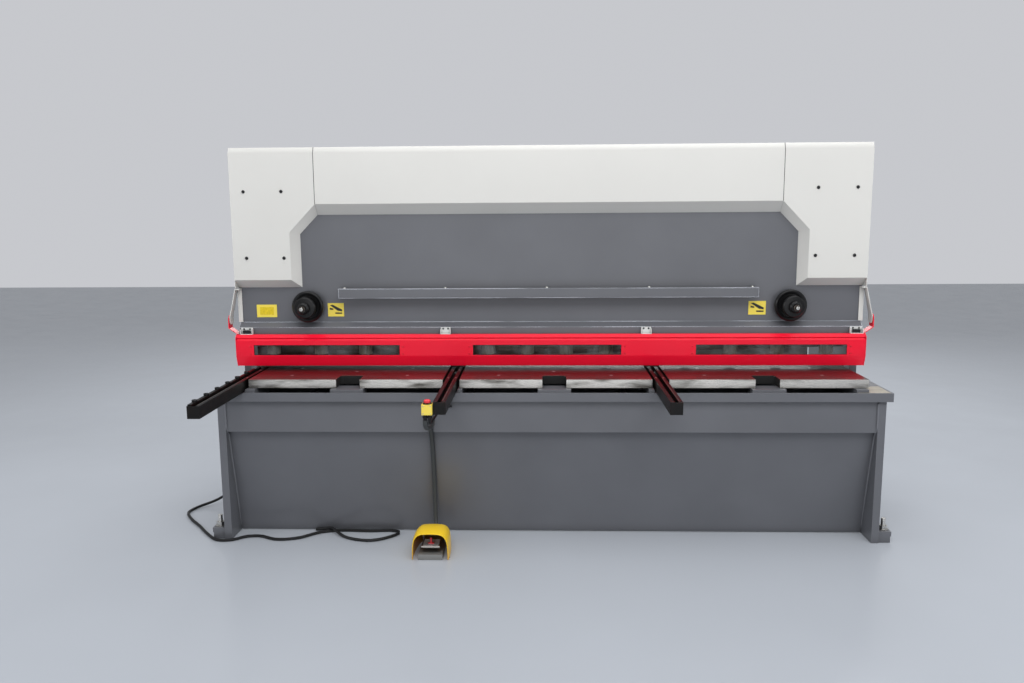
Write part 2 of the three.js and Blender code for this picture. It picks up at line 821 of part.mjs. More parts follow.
// The guard's front is folded: a lip, a crease below it, a face with windows and a strip turned under.
function guardSheet() {
  const { half, y, bottom, low, crease, top, rear } = GUARD;
  const t = SHEET;
  const section = [
    [rear, top],
    [y + 16, top],
    [y + 3, crease + 6],
    [y + 7, crease],
    [y, crease - 7],
    [y, low],
    [y + 16, bottom],
    [y + 31, bottom],
    [y + 31, bottom + t],
    [y + 18.3, bottom + t],
    [y + t, low + 0.6],
    [y + t, crease - 8.2],
    [y + 10.9, crease - 0.3],
    [y + 6.8, crease + 5.8],
    [y + 17.4, top - t],
    [rear, top - t],
  ];
  const windows = WINDOW.xs.map((x) =>
    box([x - WINDOW.width / 2, x + WINDOW.width / 2], [y - 5, y + 10], [WINDOW.low, WINDOW.high]),
  );
  // Each end plate stands a little proud of the sheet all round
  const arm = [
    [y - 1, crease + 7],
    [y - 1, low - 0.4],
    [y + 15, bottom - 1],
    [-72, bottom - 1],
    [-64, 900],
    [-46, PIVOT.z - 28],
    [-50, PIVOT.z + 18],
    [-66, PIVOT.z + 26],
    [-86, PIVOT.z + 24],
    [-98, PIVOT.z + 8],
    [-102, top + 1],
    [y + 15, top + 1],
  ];
  const bend = [
    [half - 4, bottom - 5],
    [half, bottom - 5],
    [half, FLARE.low - 1],
    [FLARE.x, FLARE.high - 1],
    [FLARE.x, PIVOT.z + 32],
    [FLARE.x - 4, PIVOT.z + 32],
    [FLARE.x - 4, FLARE.high],
    [half - 4, FLARE.low],
  ];
  const end = alongX(arm, half - 10, FLARE.x + 10).intersect(alongY(bend, y - 10, 0));
  const reach = FLARE.x + 10;
  const pivots = rod(PIVOT.r + 1.5, -reach, reach, X, [0, PIVOT.y, PIVOT.z], 16);
  const sheet = alongX(section, 2 - half, half - 2);
  return cut(join(sheet, end, end.mirror([1, 0, 0])), ...windows, pivots);
}

const guardWindow = () =>
  box([-1540, 1540], [GUARD.y + SHEET + GAP, GUARD.y + 2 * SHEET + GAP], [867.5, 932]);

// The bent bracket at the end of the front plate that carries the guard's pivot pin.
function guardBracket() {
  const t = 4;
  const top = COVER_END_Z - COVER_BEVEL - 4;
  const ear = FLARE.x - 5.5; // outer face of the ear beside the guard's end plate
  const root = FRAME_X + 10;
  const face = PLATE_Y - GAP;
  const bend = [
    [root - t, top],
    [root, top],
    [ear, PIVOT.z + 18],
    [ear, PIVOT.z - 22],
    [ear - t, PIVOT.z - 22],
    [ear - t, PIVOT.z + 17],
  ];
  const side = [
    [-92, PIVOT.z - 10],
    [-84, PIVOT.z - 23],
    [-56, PIVOT.z - 23],
    [-40, PIVOT.z - 10],
    [face, top + 1],
    [face - 40, top + 1],
    [-92, PIVOT.z + 60],
  ];
  const plate = alongX(side, FRAME_X, FLARE.x).intersect(alongY(bend, -100, 40));
  const flange = box([FRAME_X - 14, root - t / 2], [face - t, face], [PLATE_EDGE.top + 2, top - 0.5]);
  const cap = box([FRAME_X - 13, root - t / 2], [face - 39, face - t / 2], [top - 6, top - 1]);
  const pin = rod(PIVOT.r, ear - 1, FLARE.x + 2, X, [0, PIVOT.y, PIVOT.z], 16);
  const head = rod(PIVOT.r + 4, FLARE.x + 0.8, FLARE.x + 6, X, [0, PIVOT.y, PIVOT.z], 16);
  return join(plate, flange, cap, pin, head);
}

// ---------------------------------------------------------------- back gauge and chute

// The stop bar, an angle, welded to the two carriages that the lead screws move.
function backGauge() {
  const { y, half, low, high } = GAUGE;
  const carriages = [-SCREW.x, SCREW.x].map((x) => {
    const block = box([x - 48, x + 48], [y + 6, y + 116], [RAIL.high + GAP, low + 4]);
    return cut(block, rod(SCREW.r + 1.5, 0, 900, Y, [x, 0, SCREW.z]));
  });
  const wall = box([-half, half], [y, y + 8], [low, high]);
  const flange = box([-half, half], [y, y + 60], [low, low + 8]);
  return join(wall, flange, ...carriages);
}

function leadScrew() {
  const { front, rear, plate, r, journal } = SCREW;
  const profile = [
    [0, front - 2],
    [journal, front - 2],
    [journal, front + plate + GAP],
    [r, front + plate + GAP],
    [r, rear - plate - GAP],
    [journal, rear - plate - GAP],
    [journal, rear + 30],
    [0, rear + 30],
  ];
  return turned(profile, Y, [SCREW.x, 0, SCREW.z]);
}

// ---------------------------------------------------------------- hydraulics and electrics at the back

const SHELF = { front: 125, rear: 620, low: 1240, high: 1252 };

function rearShelf() {
  const x = INNER_X - GAP;
  return alongX(
    [
      [SHELF.front, SHELF.high],
      [SHELF.rear, SHELF.high],
      [SHELF.rear, 1180],
      [SHELF.rear - 8, 1180],
      [SHELF.rear - 8, SHELF.low],
      [SHELF.front, SHELF.low],
    ],
    -x,
    x,
  );
}

const TANK = { half: 420, front: 180, rear: 560, high: 1580 };

function oilTank() {
  const low = SHELF.high + GAP;
  const t = 6;
  const shell = cut(
    box([-TANK.half, TANK.half], [TANK.front, TANK.rear], [low, TANK.high]),
    box([-TANK.half + t, TANK.half - t], [TANK.front + t, TANK.rear - t], [low + t, TANK.high - t]),
    rod(40, TANK.high - 20, TANK.high + 20, Z, [330, 300, 0]),
  );
  const neck = cut(
    rod(46, TANK.high - 1, TANK.high + 26, Z, [330, 300, 0]),
    rod(40, TANK.high - 20, TANK.high + 40, Z, [330, 300, 0]),
  );
  return join(shell, neck);
}

// An electric motor with its pump on the same axis, lying on the tank.
function pumpMotor() {
  const z = 1690;
  const y = 370;
  const profile = [
    [0, -330],
    [88, -330],
    [96, -318],
    [96, -250],
    [86, -244],
    [86, 40],
    [96, 44],
    [96, 62],
    [62, 70],
    [62, 150],
    [48, 158],
    [48, 260],
    [0, 260],
  ];
  const body = turned(profile, X, [0, y, z], 24);
  const foot = (x) => box([x - 30, x + 30], [y - 90, y + 90], [TANK.high + GAP, TANK.high + 46]);
  const terminals = box([-160, -60], [y - 50, y + 50], [z + 70, z + 130]);
  return join(body, foot(-200), foot(-20), terminals);
}

const CABINET = { left: -1500, right: -860, front: 330, rear: 600, high: 1800 };

function electricCabinet() {
  const { left, right, front, rear, high } = CABINET;
  const low = SHELF.high + GAP;
  const t = 4;
  return cut(
    box([left, right], [front, rear], [low, high]),
    box([left + t, right - t], [front + t, rear + 1], [low + t, high - t]),
  );
}

function cabinetDoor() {
  const { left, right, rear, high } = CABINET;
  const low = SHELF.high + GAP;
  const y = rear + GAP;
  const skin = box([left, right], [y + 12, y + 15], [low + 2, high]);
  const rim = cut(
    box([left, right], [y, y + 13], [low + 2, high]),
    box([left + 4, right - 4], [y - 1, y + 14], [low + 6, high - 4]),
  );
  const knobZ = (low + high) / 2;
  const knob = rod(24, 14, 40, Y, [right - 90, y, knobZ], 20);
  return join(skin, rim, knob);
}

// ---------------------------------------------------------------- the whole machine

const [wheelLeft, wheelRight] = ["left", "right"].map((side) => {
  const at = [side === "left" ? -WHEEL.x : WHEEL.x, PLATE_Y, WHEEL.z];
  return assembly(
    part(`handwheel_${side}`, handwheel(), BLACK, at),
    part(`handwheel_spindle_${side}`, spindle(), BRIGHT, at),
  );
});

const plungerGeometry = holddownPlunger();
const plungers = holddownXs.map((x, i) =>
  part(`holddown_plunger_${i + 1}`, plungerGeometry, STEEL, [x, HOLDDOWN_Y, 0]),
);

const shear = new THREE.Group();
shear.add(
  assembly(
    ...pair("side_frame", sideFrame(), GREY),
    part("bed_box", bedBox(), GREY),
    part("bed_plate", bedPlate(), GREY),
    part("lower_blade", lowerBlade(), STEEL),
    ...["left", "centre", "right"].map((side, i) =>
      part(`table_insert_${side}`, tableInsert(INSERTS[i], NOTCH.xs[i]), BRIGHT),
    ),
  ),
  assembly(
    part("side_gauge_arm", armBar("side"), BLACK),
    part("support_arm_centre", armBar("centre"), BLACK),
    part("support_arm_right", armBar("right"), BLACK),
    part("side_gauge_fence", sideFence(), BLACK),
    part("estop_box", stopBox(), YELLOW),
    part("estop_button", stopButton(), RED),
  ),
  assembly(
    part("pedal_base", pedalBase(), RUBBER),
    part("pedal_lever", pedalLever(), STEEL),
    part("pedal_hood", pedalHood(), YELLOW),
    part("power_cable", cable(POWER_CABLE, 7.5, 96), RUBBER),
  ),
  assembly(
    part("front_plate", frontPlate(), GREY),
    part("holddown_cylinders", holddownCylinders(), STEEL),
    ...plungers,
    part("ledge_rail", ledgeRail(), GREY),
    ...pair("end_cover", endCover(), CREAM),
    part("top_cover", topCover(), CREAM),
  ),
  assembly(
    part("blade_beam", bladeBeam(), GREY),
    part("upper_blade", upperBlade(), STEEL),
    ...pair("main_cylinder", mainCylinder(), STEEL),
    ...pair("piston_rod", pistonRod(), CHROME),
  ),
  wheelLeft,
  wheelRight,
  assembly(
    part("guard", guardSheet(), RED),
    part("guard_window", guardWindow(), CLEAR),
    ...pair("guard_bracket", guardBracket(), CREAM),
  ),
  assembly(
    part("back_gauge", backGauge(), STEEL),
    ...pair("lead_screw", leadScrew(), BRIGHT),
  ),
  assembly(
    part("rear_shelf", rearShelf(), GREY),
    part("oil_tank", oilTank(), GREY),
    part("pump_motor", pumpMotor(), MOTOR_BLUE),
    part("electric_cabinet", electricCabinet(), CREAM),
    part("cabinet_door", cabinetDoor(), CREAM),
  ),
);

export default shear;
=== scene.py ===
import json
import math

import bmesh
import bpy
from mathutils import Matrix, Vector


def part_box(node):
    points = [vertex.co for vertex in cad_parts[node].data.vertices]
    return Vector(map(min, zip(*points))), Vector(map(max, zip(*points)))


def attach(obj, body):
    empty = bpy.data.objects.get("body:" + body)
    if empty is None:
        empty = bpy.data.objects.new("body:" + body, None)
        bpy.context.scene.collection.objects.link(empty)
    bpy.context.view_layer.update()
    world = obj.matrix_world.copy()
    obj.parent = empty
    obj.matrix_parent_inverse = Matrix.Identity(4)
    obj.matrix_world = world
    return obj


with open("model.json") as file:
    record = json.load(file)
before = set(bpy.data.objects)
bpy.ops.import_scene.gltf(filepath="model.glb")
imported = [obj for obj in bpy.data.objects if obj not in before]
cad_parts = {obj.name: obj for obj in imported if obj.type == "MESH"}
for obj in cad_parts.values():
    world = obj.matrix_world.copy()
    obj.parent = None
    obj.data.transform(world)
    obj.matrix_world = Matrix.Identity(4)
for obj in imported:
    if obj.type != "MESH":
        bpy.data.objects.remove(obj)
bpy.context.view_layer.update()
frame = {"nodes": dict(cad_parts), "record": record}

X, Y, Z = Vector((1, 0, 0)), Vector((0, 1, 0)), Vector((0, 0, 1))
SUNK = 0.0005  # how far a screw head or plate reaches into what it sits on
SIDES = {"left": -1, "right": 1}

# ---- materials

WEAR_REACH = 0.0025  # how far worn paint reaches in from an edge

def link(tree, source, target):
    tree.links.new(source, target)


def noise(tree, size, stretch=(1, 1, 1), detail=3.0):
    """A noise texture whose features are about size metres across, stretched along an axis."""
    place = tree.nodes.new("ShaderNodeMapping")
    place.inputs["Scale"].default_value = [1 / (size * s) for s in stretch]
    where = tree.nodes.new("ShaderNodeTexCoord")
    link(tree, where.outputs["Object"], place.inputs["Vector"])
    texture = tree.nodes.new("ShaderNodeTexNoise")
    texture.inputs["Scale"].default_value = 1.0
    texture.inputs["Detail"].default_value = detail
    link(tree, place.outputs["Vector"], texture.inputs["Vector"])
    return texture.outputs["Fac"]


def remap(tree, value, low, high, start=0.3, end=0.7):
    node = tree.nodes.new("ShaderNodeMapRange")
    node.inputs["From Min"].default_value = start
    node.inputs["From Max"].default_value = end
    node.inputs["To Min"].default_value = low
    node.inputs["To Max"].default_value = high
    link(tree, value, node.inputs["Value"])
    return node.outputs["Result"]


def mix(tree, share, first, second):
    """Two colours, or colour sockets, mixed by a share socket."""
    node = tree.nodes.new("ShaderNodeMix")
    node.data_type = "RGBA"
    link(tree, share, node.inputs["Factor"])
    for value, key in ((first, "A"), (second, "B")):
        socket = next(s for s in node.inputs if s.name == key and s.type == "RGBA")
        if isinstance(value, bpy.types.NodeSocket):
            link(tree, value, socket)
        else:
            socket.default_value = (*value, 1.0)
    return next(s for s in node.outputs if s.type == "RGBA")


def edge_mask(tree, radius, plain):
    """1 on the edges of a solid, 0 on its faces."""
    rounded = tree.nodes.new("ShaderNodeBevel")
    rounded.inputs["Radius"].default_value = radius
    geometry = tree.nodes.new("ShaderNodeNewGeometry")
    dot = tree.nodes.new("ShaderNodeVectorMath")
    dot.operation = "DOT_PRODUCT"
    link(tree, rounded.outputs["Normal"], dot.inputs[0])
    link(tree, geometry.outputs["Normal"], dot.inputs[1])
    return remap(tree, dot.outputs["Value"], plain, 0.0, 0.9, 0.995)


def crevice_mask(tree, distance):
    """Painted shade: 0 in the open, up to 1 in corners and recesses, from ambient occlusion."""
    node = tree.nodes.new("ShaderNodeAmbientOcclusion")
    node.inputs["Distance"].default_value = distance
    node.samples = 4
    return remap(tree, node.outputs["AO"], 0.75, 0.0, 0.25, 0.9)


def scaled(color, by):
    return tuple(min(1.0, c * by) for c in color)


def finish_of(
    name,
    color,
    roughness,
    metallic=0.0,
    coat=0.0,
    mottle=0.06,
    patch=0.4,
    grain=0.004,
    depth=0.00008,
    stretch=(1, 1, 1),
    spread=0.06,
    wear=(0.25, 1.6),
    corner_shade=(0.45, 0.05),
    stain=None,
    shaded_top=None,
    specular=0.5,
    glow=0.0,
):
    """A material with broad mottling, fine grain, pale worn edges and painted shade in its corners.

    wear is (strength, how much paler[, reach]), corner_shade is (how dark or what colour the painted shade in
    corners is, reach), and stain is (colour, patch size, share[, stretch]) for smudges on bare metal.
    shaded_top is (how dark the painted shade makes the faces that look up, the colour of the painted
    shade towards the rear, the two depths between which that rear shade takes over)."""
    made = bpy.data.materials.new(name)
    made.use_nodes = True
    tree = made.node_tree
    shader = tree.nodes["Principled BSDF"]
    base = mix(
        tree,
        remap(tree, noise(tree, patch), 0.0, 1.0),
        scaled(color, 1 - mottle),
        scaled(color, 1 + mottle),
    )
    if stain:
        tint, size, share, *shape = stain
        spots = remap(tree, noise(tree, size, shape[0] if shape else stretch, 6.0), 0.0, share, 0.48, 0.72)
        base = mix(tree, spots, base, tint)
    strength, paler, *reach = wear
    worn = tree.nodes.new("ShaderNodeMath")
    worn.operation = "MULTIPLY"
    link(tree, edge_mask(tree, reach[0] if reach else WEAR_REACH, strength), worn.inputs[0])
    link(tree, remap(tree, noise(tree, 0.09, (3, 1, 1)), 0.15, 1.0, 0.38, 0.62), worn.inputs[1])
    base = mix(tree, worn.outputs["Value"], base, scaled(color, paler))
    if shaded_top:
        # Painted shade: faces that look up are darkened like a dark reflection, and darker still towards the
        # rear, as in the shade under the guard.
        top_shade, rear_shade, (front, rear) = shaded_top
        geometry = tree.nodes.new("ShaderNodeNewGeometry")
        normal, spot = (tree.nodes.new("ShaderNodeSeparateXYZ") for _ in range(2))
        link(tree, geometry.outputs["Normal"], normal.inputs["Vector"])
        link(tree, geometry.outputs["Position"], spot.inputs["Vector"])
        looks_up = remap(tree, normal.outputs["Z"], 0.0, 0.9, 0.6, 0.95)
        base = mix(tree, looks_up, base, scaled(color, top_shade))
        base = mix(tree, remap(tree, spot.outputs["Y"], 0.0, 0.95, front, rear), base, rear_shade)
    # Painted shade: corners, creases and recesses darkened, or tinted, by ambient occlusion.
    corner = corner_shade[0] if isinstance(corner_shade[0], tuple) else scaled(color, corner_shade[0])
    base = mix(tree, crevice_mask(tree, corner_shade[1]), base, corner)
    link(tree, base, shader.inputs["Base Color"])
    fine = noise(tree, grain, stretch)
    rough = remap(tree, fine, max(0.02, roughness - spread), roughness + spread)
    link(tree, rough, shader.inputs["Roughness"])
    bump = tree.nodes.new("ShaderNodeBump")
    bump.inputs["Strength"].default_value = 0.6
    bump.inputs["Distance"].default_value = depth
    link(tree, fine, bump.inputs["Height"])
    link(tree, bump.outputs["Normal"], shader.inputs["Normal"])
    shader.inputs["Metallic"].default_value = metallic
    shader.inputs["Coat Weight"].default_value = coat
    shader.inputs["Coat Roughness"].default_value = 0.15
    shader.inputs["Specular IOR Level"].default_value = specular
    shader.inputs["Emission Color"].default_value = (*color, 1)
    shader.inputs["Emission Strength"].default_value = glow
    return made


def clear_pane(name):
    """Thin clear plastic: mostly see-through, with a sheen and faint scratches."""
    made = bpy.data.materials.new(name)
    made.use_nodes = True
    tree = made.node_tree
    tree.nodes.remove(tree.nodes["Principled BSDF"])
    clear = tree.nodes.new("ShaderNodeBsdfTransparent")
    clear.inputs["Color"].default_value = (0.93, 0.94, 0.93, 1)
    sheen = tree.nodes.new("ShaderNodeBsdfGlossy")
    scratches = noise(tree, 0.003, (20, 1, 1))
    link(tree, remap(tree, scratches, 0.04, 0.22), sheen.inputs["Roughness"])
    both = tree.nodes.new("ShaderNodeMixShader")
    haze = remap(tree, noise(tree, 0.08), 0.01, 0.1, 0.42, 0.68)
    link(tree, haze, both.inputs["Fac"])
    link(tree, clear.outputs["BSDF"], both.inputs[1])
    link(tree, sheen.outputs["BSDF"], both.inputs[2])
    output = next(n for n in tree.nodes if n.type == "OUTPUT_MATERIAL")
    link(tree, both.outputs["Shader"], output.inputs["Surface"])
    return made


GREY = (0.127, 0.131, 0.145)
GREY_COAT = {"coat": 0.22, "mottle": 0.07, "grain": 0.0035, "depth": 0.00013}
LOOKS = {
    "grey_paint": finish_of("grey_paint_look", GREY, 0.36, wear=(0.4, 2.2), **GREY_COAT),
    "cream_paint": finish_of(
        "cream_paint_look",
        (0.71, 0.7, 0.665),
        0.42,
        mottle=0.015,
        coat=0.1,
        grain=0.003,
        depth=0.00006,
        wear=(0.15, 1.1),
        corner_shade=(0.6, 0.04),
    ),
    "red_paint": finish_of(
        "red_paint_look",
        (0.94, 0.004, 0.032),
        0.32,
        mottle=0.05,
        coat=0.22,
        grain=0.003,
        depth=0.00006,
        wear=(0.35, 1.5),
        corner_shade=((0.35, 0.001, 0.008), 0.03),
        specular=0.3,
    ),
    "ground_steel": finish_of(
        "ground_steel_look",
        (0.78, 0.75, 0.7),
        0.3,
        0.9,
        grain=0.0012,
        depth=0.00002,
        stretch=(60, 1, 1),
        spread=0.12,
        wear=(0.6, 1.3),
        stain=((0.085, 0.075, 0.06), 0.035, 0.95, (5, 2, 1)),
        # Painted shade: the tops darkened, most of all towards the rear under the guard.
        shaded_top=(0.2, (0.06, 0.046, 0.038), (-0.39, -0.25)),
        # Painted shade: very dark close to the blade gap and the parts beside it.
        corner_shade=(0.06, 0.1),
    ),
    "blade_steel": finish_of(
        "blade_steel_look",
        (0.15, 0.13, 0.115),
        0.4,
        0.8,
        grain=0.0015,
        depth=0.00002,
        stretch=(50, 1, 1),
        spread=0.1,
        stain=((0.05, 0.04, 0.032), 0.03, 0.9),
    ),
    "machined_steel": finish_of(
        "machined_steel_look",
        (0.36, 0.35, 0.33),
        0.38,
        1.0,
        grain=0.002,
        depth=0.00003,
        stretch=(8, 8, 1),
        stain=((0.08, 0.075, 0.07), 0.05, 0.5),
    ),
    "hard_chrome": finish_of(
        "hard_chrome_look",
        (0.8, 0.81, 0.82),
        0.08,
        1.0,
        grain=0.001,
        depth=0.00001,
        stretch=(1, 1, 30),
        spread=0.04,
    ),
    "black_paint": finish_of(
        "black_paint_look",
        (0.004, 0.0037, 0.0037),
        0.42,
        mottle=0.3,
        wear=(0.3, 5.0),
        stain=((0.016, 0.01, 0.007), 0.03, 0.6),
        specular=0.25,
    ),
    "black_plastic": finish_of(
        "black_plastic_look", (0.006, 0.006, 0.0065), 0.3, grain=0.0015, wear=(0.3, 4.0), specular=0.35
    ),
    "yellow_plastic": finish_of(
        "yellow_plastic_look",
        (0.97, 0.63, 0.02),
        0.36,
        coat=0.15,
        grain=0.0015,
        depth=0.00006,
        wear=(0.25, 1.2),
        # Painted shade in the hollows, tinted orange as if lit through the plastic.
        corner_shade=((0.58, 0.16, 0.003), 0.15),
    ),
    "red_plastic": finish_of("red_plastic_look", (0.75, 0.03, 0.045), 0.3, coat=0.3, grain=0.001),
    "cable_rubber": finish_of(
        "cable_rubber_look", (0.008, 0.008, 0.009), 0.5, grain=0.001, depth=0.00005, specular=0.35
    ),
    "motor_paint": finish_of("motor_paint_look", (0.07, 0.1, 0.14), 0.45),
    "clear_pane": clear_pane("clear_pane_look"),
}
ZINC = finish_of(
    "zinc_look",
    (0.7, 0.69, 0.66),
    0.28,
    1.0,
    grain=0.002,
    depth=0.00002,
    stain=((0.3, 0.29, 0.27), 0.01, 0.4),
)
ALUMINIUM = finish_of("aluminium_look", (0.66, 0.67, 0.68), 0.4, 1.0, grain=0.002, depth=0.00004)
BLACK_STEEL = finish_of("black_steel_look", (0.03, 0.03, 0.032), 0.42, 0.7, grain=0.001, wear=(0.5, 3.0))
CAST_GREY = finish_of("cast_grey_look", (0.3, 0.3, 0.29), 0.5, 0.4, grain=0.0015, depth=1e-4, wear=(0.5, 1.8))
WORN_BEIGE = finish_of(
    "worn_beige_look",
    (0.52, 0.47, 0.37),
    0.45,
    0.3,
    grain=0.002,
    stain=((0.14, 0.12, 0.09), 0.04, 0.7),
    corner_shade=(0.07, 0.07),
)
BARE_BEIGE = finish_of(
    "bare_bed_look",
    (0.46, 0.42, 0.34),
    0.4,
    0.6,
    grain=0.002,
    stretch=(30, 1, 1),
    stain=((0.2, 0.18, 0.15), 0.06, 0.5),
)
# Very pale edges: chipped paint, and painted highlights along the edges of the ledge and the plate.
CHIPPED_HIGHLIT_GREY = finish_of("chipped_highlit_grey_look", GREY, 0.36, wear=(1.3, 6.5, 0.006), **GREY_COAT)
WELD_GREY = finish_of("weld_grey_look", scaled(GREY, 1.25), 0.4, coat=0.2, grain=0.006, depth=0.0004)
GREY_RUBBER = finish_of("grey_rubber_look", (0.04, 0.044, 0.045), 0.5, grain=0.001, depth=0.00005)
CLIP_WHITE = finish_of(
    "clip_white_look", (0.74, 0.74, 0.72), 0.35, grain=0.002, wear=(0.3, 1.2), corner_shade=(0.3, 0.012)
)
PALE_YELLOW = finish_of(
    "pale_yellow_look", (0.93, 0.72, 0.1), 0.36, coat=0.15, grain=0.0015, depth=0.00006, wear=(0.25, 1.2)
)
LABEL_YELLOW = finish_of("label_yellow_look", (0.95, 0.76, 0.1), 0.35, mottle=0.03, grain=0.002)
LABEL_OCHRE = finish_of("label_ochre_look", (0.8, 0.6, 0.012), 0.4, mottle=0.12, patch=0.01, grain=0.002)
LABEL_BLACK = finish_of("label_black_look", (0.02, 0.02, 0.02), 0.4, grain=0.002)
BLACK_PLASTIC, RUBBER, MOTOR_BLUE = (LOOKS[key] for key in ("black_plastic", "cable_rubber", "motor_paint"))
# Black for the seams between the covers, and painted shade on the walls of the hand notches.
SEAM_AND_SHADE_BLACK = finish_of("seam_and_shade_black_look", (0.006, 0.006, 0.006), 0.8, grain=0.003)
GLASS = clear_pane("sight_glass_look")

# ---- finish on the CAD's own solids

ROUND_LIMIT = math.radians(38)  # edges sharper than this stay crisp


def smoothing_nodes():
    """Faces smooth, edges crisp where they turn by more than ROUND_LIMIT."""
    group = bpy.data.node_groups.new("smooth_by_angle", "GeometryNodeTree")
    for way in ("INPUT", "OUTPUT"):
        group.interface.new_socket("Geometry", in_out=way, socket_type="NodeSocketGeometry")
    new = group.nodes.new
    start, end = new("NodeGroupInput"), new("NodeGroupOutput")
    plain = new("GeometryNodeRemoveAttribute")
    plain.inputs["Name"].default_value = "custom_normal"
    faces, edges = new("GeometryNodeSetShadeSmooth"), new("GeometryNodeSetShadeSmooth")
    faces.domain, edges.domain = "FACE", "EDGE"
    angle, compare = new("GeometryNodeInputMeshEdgeAngle"), new("FunctionNodeCompare")
    compare.operation = "LESS_THAN"
    compare.inputs[1].default_value = ROUND_LIMIT
    group.links.new(angle.outputs["Unsigned Angle"], compare.inputs[0])
    group.links.new(compare.outputs["Result"], edges.inputs["Shade Smooth"])
    chain = [start, plain, faces, edges, end]
    for before, after in zip(chain, chain[1:]):
        group.links.new(before.outputs[0], after.inputs[0])
    return group


SMOOTHING = smoothing_nodes()


def soften(obj, width, segments=2, weld=False):
    """Small rounds on the edges, with shading to match."""
    if weld:
        obj.modifiers.new("weld", "WELD").merge_threshold = 0.00003
        flat = obj.modifiers.new("flat", "DECIMATE")
        flat.decimate_type = "DISSOLVE"
        flat.angle_limit = math.radians(1)
    if width:
        bevel = obj.modifiers.new("rounds", "BEVEL")
        bevel.width = width
        bevel.segments = segments
        bevel.limit_method = "ANGLE"
        bevel.angle_limit = math.radians(40)
    obj.modifiers.new("smooth", "NODES").node_group = SMOOTHING
    weighted = obj.modifiers.new("weighted", "WEIGHTED_NORMAL")
    weighted.keep_sharp = True


# How nodes begin whose edges stay crisp, and how round the edges of the others are
CRISP = ("handwheel", "main_cylinder", "piston_rod", "holddown", "lead_screw", "power_cable")
CRISP += ("pump_motor", "estop")
PLAIN_ROUND = 0.0015
EDGE_ROUND = {
    "blade_beam": 0.0003,
    "table_insert": 0.0012,
    "guard": 0.0008,
    "end_cover": 0.0008,
    "top_cover": 0.0012,
}

# Nodes that look different from the rest of their slot: chipped paint with painted highlights on its edges,
# bare castings, paler plastic
OWN_LOOK = {
    "ledge_rail": CHIPPED_HIGHLIT_GREY,
    "front_plate": CHIPPED_HIGHLIT_GREY,
    "holddown_cylinders": WORN_BEIGE,
    "pedal_base": CAST_GREY,
    "back_gauge": LOOKS["machined_steel"],
    "estop_box": PALE_YELLOW,
}

slot_of = {s["node"]: s["material_slot"] for s in frame["record"]["subparts"]}
for node, obj in frame["nodes"].items():
    obj.data.materials.clear()
    obj.data.materials.append(OWN_LOOK.get(node, LOOKS[slot_of[node]]))
    if node.startswith(CRISP):
        soften(obj, 0.0, weld=True)
    else:
        width = next((w for key, w in EDGE_ROUND.items() if node.startswith(key)), PLAIN_ROUND)
        soften(obj, width, weld=True)

# ---- building pieces


def place(point, origin, axis):
    """A point of a shape built along Z, moved so that Z runs along axis from origin."""
    return Vector(origin) + axis.to_track_quat("Z", "Y") @ Vector(point)


def add_turned(bm, profile, origin, axis, segments=24):
    """A profile of (radius, height) or (radius, height, "hex") points turned about an axis."""
    rings = []
    for radius, height, *kind in profile:
        if radius == 0:
            rings.append([bm.verts.new(place((0, 0, height), origin, axis))])
            continue
        ring = []
        for i in range(segments):
            angle = 2 * math.pi * i / segments
            reach = radius / math.cos(angle % (math.pi / 3) - math.pi / 6) if kind else radius
            point = (reach * math.cos(angle), reach * math.sin(angle), height)
            ring.append(bm.verts.new(place(point, origin, axis)))
        rings.append(ring)
    for low, high in zip(rings, rings[1:]):
        for i in range(segments):
            j = (i + 1) % segments
            corners = [low[i % len(low)], low[j % len(low)], high[j % len(high)], high[i % len(high)]]
            face = list(dict.fromkeys(corners))
            if len(face) > 2:
                bm.faces.new(face)


def add_block(bm, low, high):
    made = bmesh.ops.create_cube(bm, size=1)
    size = Vector(high) - Vector(low)
    middle = (Vector(high) + Vector(low)) / 2
    matrix = Matrix.Translation(middle) @ Matrix.Diagonal((*size, 1))
    bmesh.ops.transform(bm, matrix=matrix, verts=made["verts"])


def add_prism(bm, outline, start, end):
    """A closed outline of 3-D points, drawn from its own place by the vectors start and end."""
    first = [bm.verts.new(Vector(p) + start) for p in outline]
    second = [bm.verts.new(Vector(p) + end) for p in outline]
    bm.faces.new(first)
    bm.faces.new(list(reversed(second)))
    for i in range(len(outline)):
        j = (i + 1) % len(outline)
        bm.faces.new([first[i], second[i], second[j], first[j]])


def piece(name, build, look, body="frame", slot=None, round_edges=0.0):
    """A mesh piece: build is called with an empty bmesh, in the row frame."""
    bm = bmesh.new()
    build(bm)
    bmesh.ops.recalc_face_normals(bm, faces=bm.faces)
    mesh = bpy.data.meshes.new(name)
    bm.to_mesh(mesh)
    bm.free()
    obj = bpy.data.objects.new(name, mesh)
    bpy.context.scene.collection.objects.link(obj)
    mesh.materials.append(look)
    soften(obj, round_edges)
    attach(obj, body)
    return obj


def blocks(name, boxes, look, **options):
    def build(bm):
        for low, high in boxes:
            add_block(bm, low, high)

    options.setdefault("round_edges", 0.001)
    return piece(name, build, look, **options)


def turned(name, profile, origins, axis, look, segments=24, **options):
    def build(bm):
        for origin in origins:
            add_turned(bm, profile, origin, axis, segments)

    return piece(name, build, look, **options)


def closed(profile):
    return [*profile, profile[0]]


def rod(radius, low, high):
    return [(0, low), (radius, low), (radius, high), (0, high)]


def socket_head(radius, height):
    """A cap screw's head with its hexagon socket."""
    hole = radius * 0.5
    return [
        (0, height * 0.4),
        (hole, height * 0.4, "hex"),
        (hole, height, "hex"),
        (radius * 0.88, height),
        (radius, height * 0.86),
        (radius, -SUNK),
        (0, -SUNK),
    ]


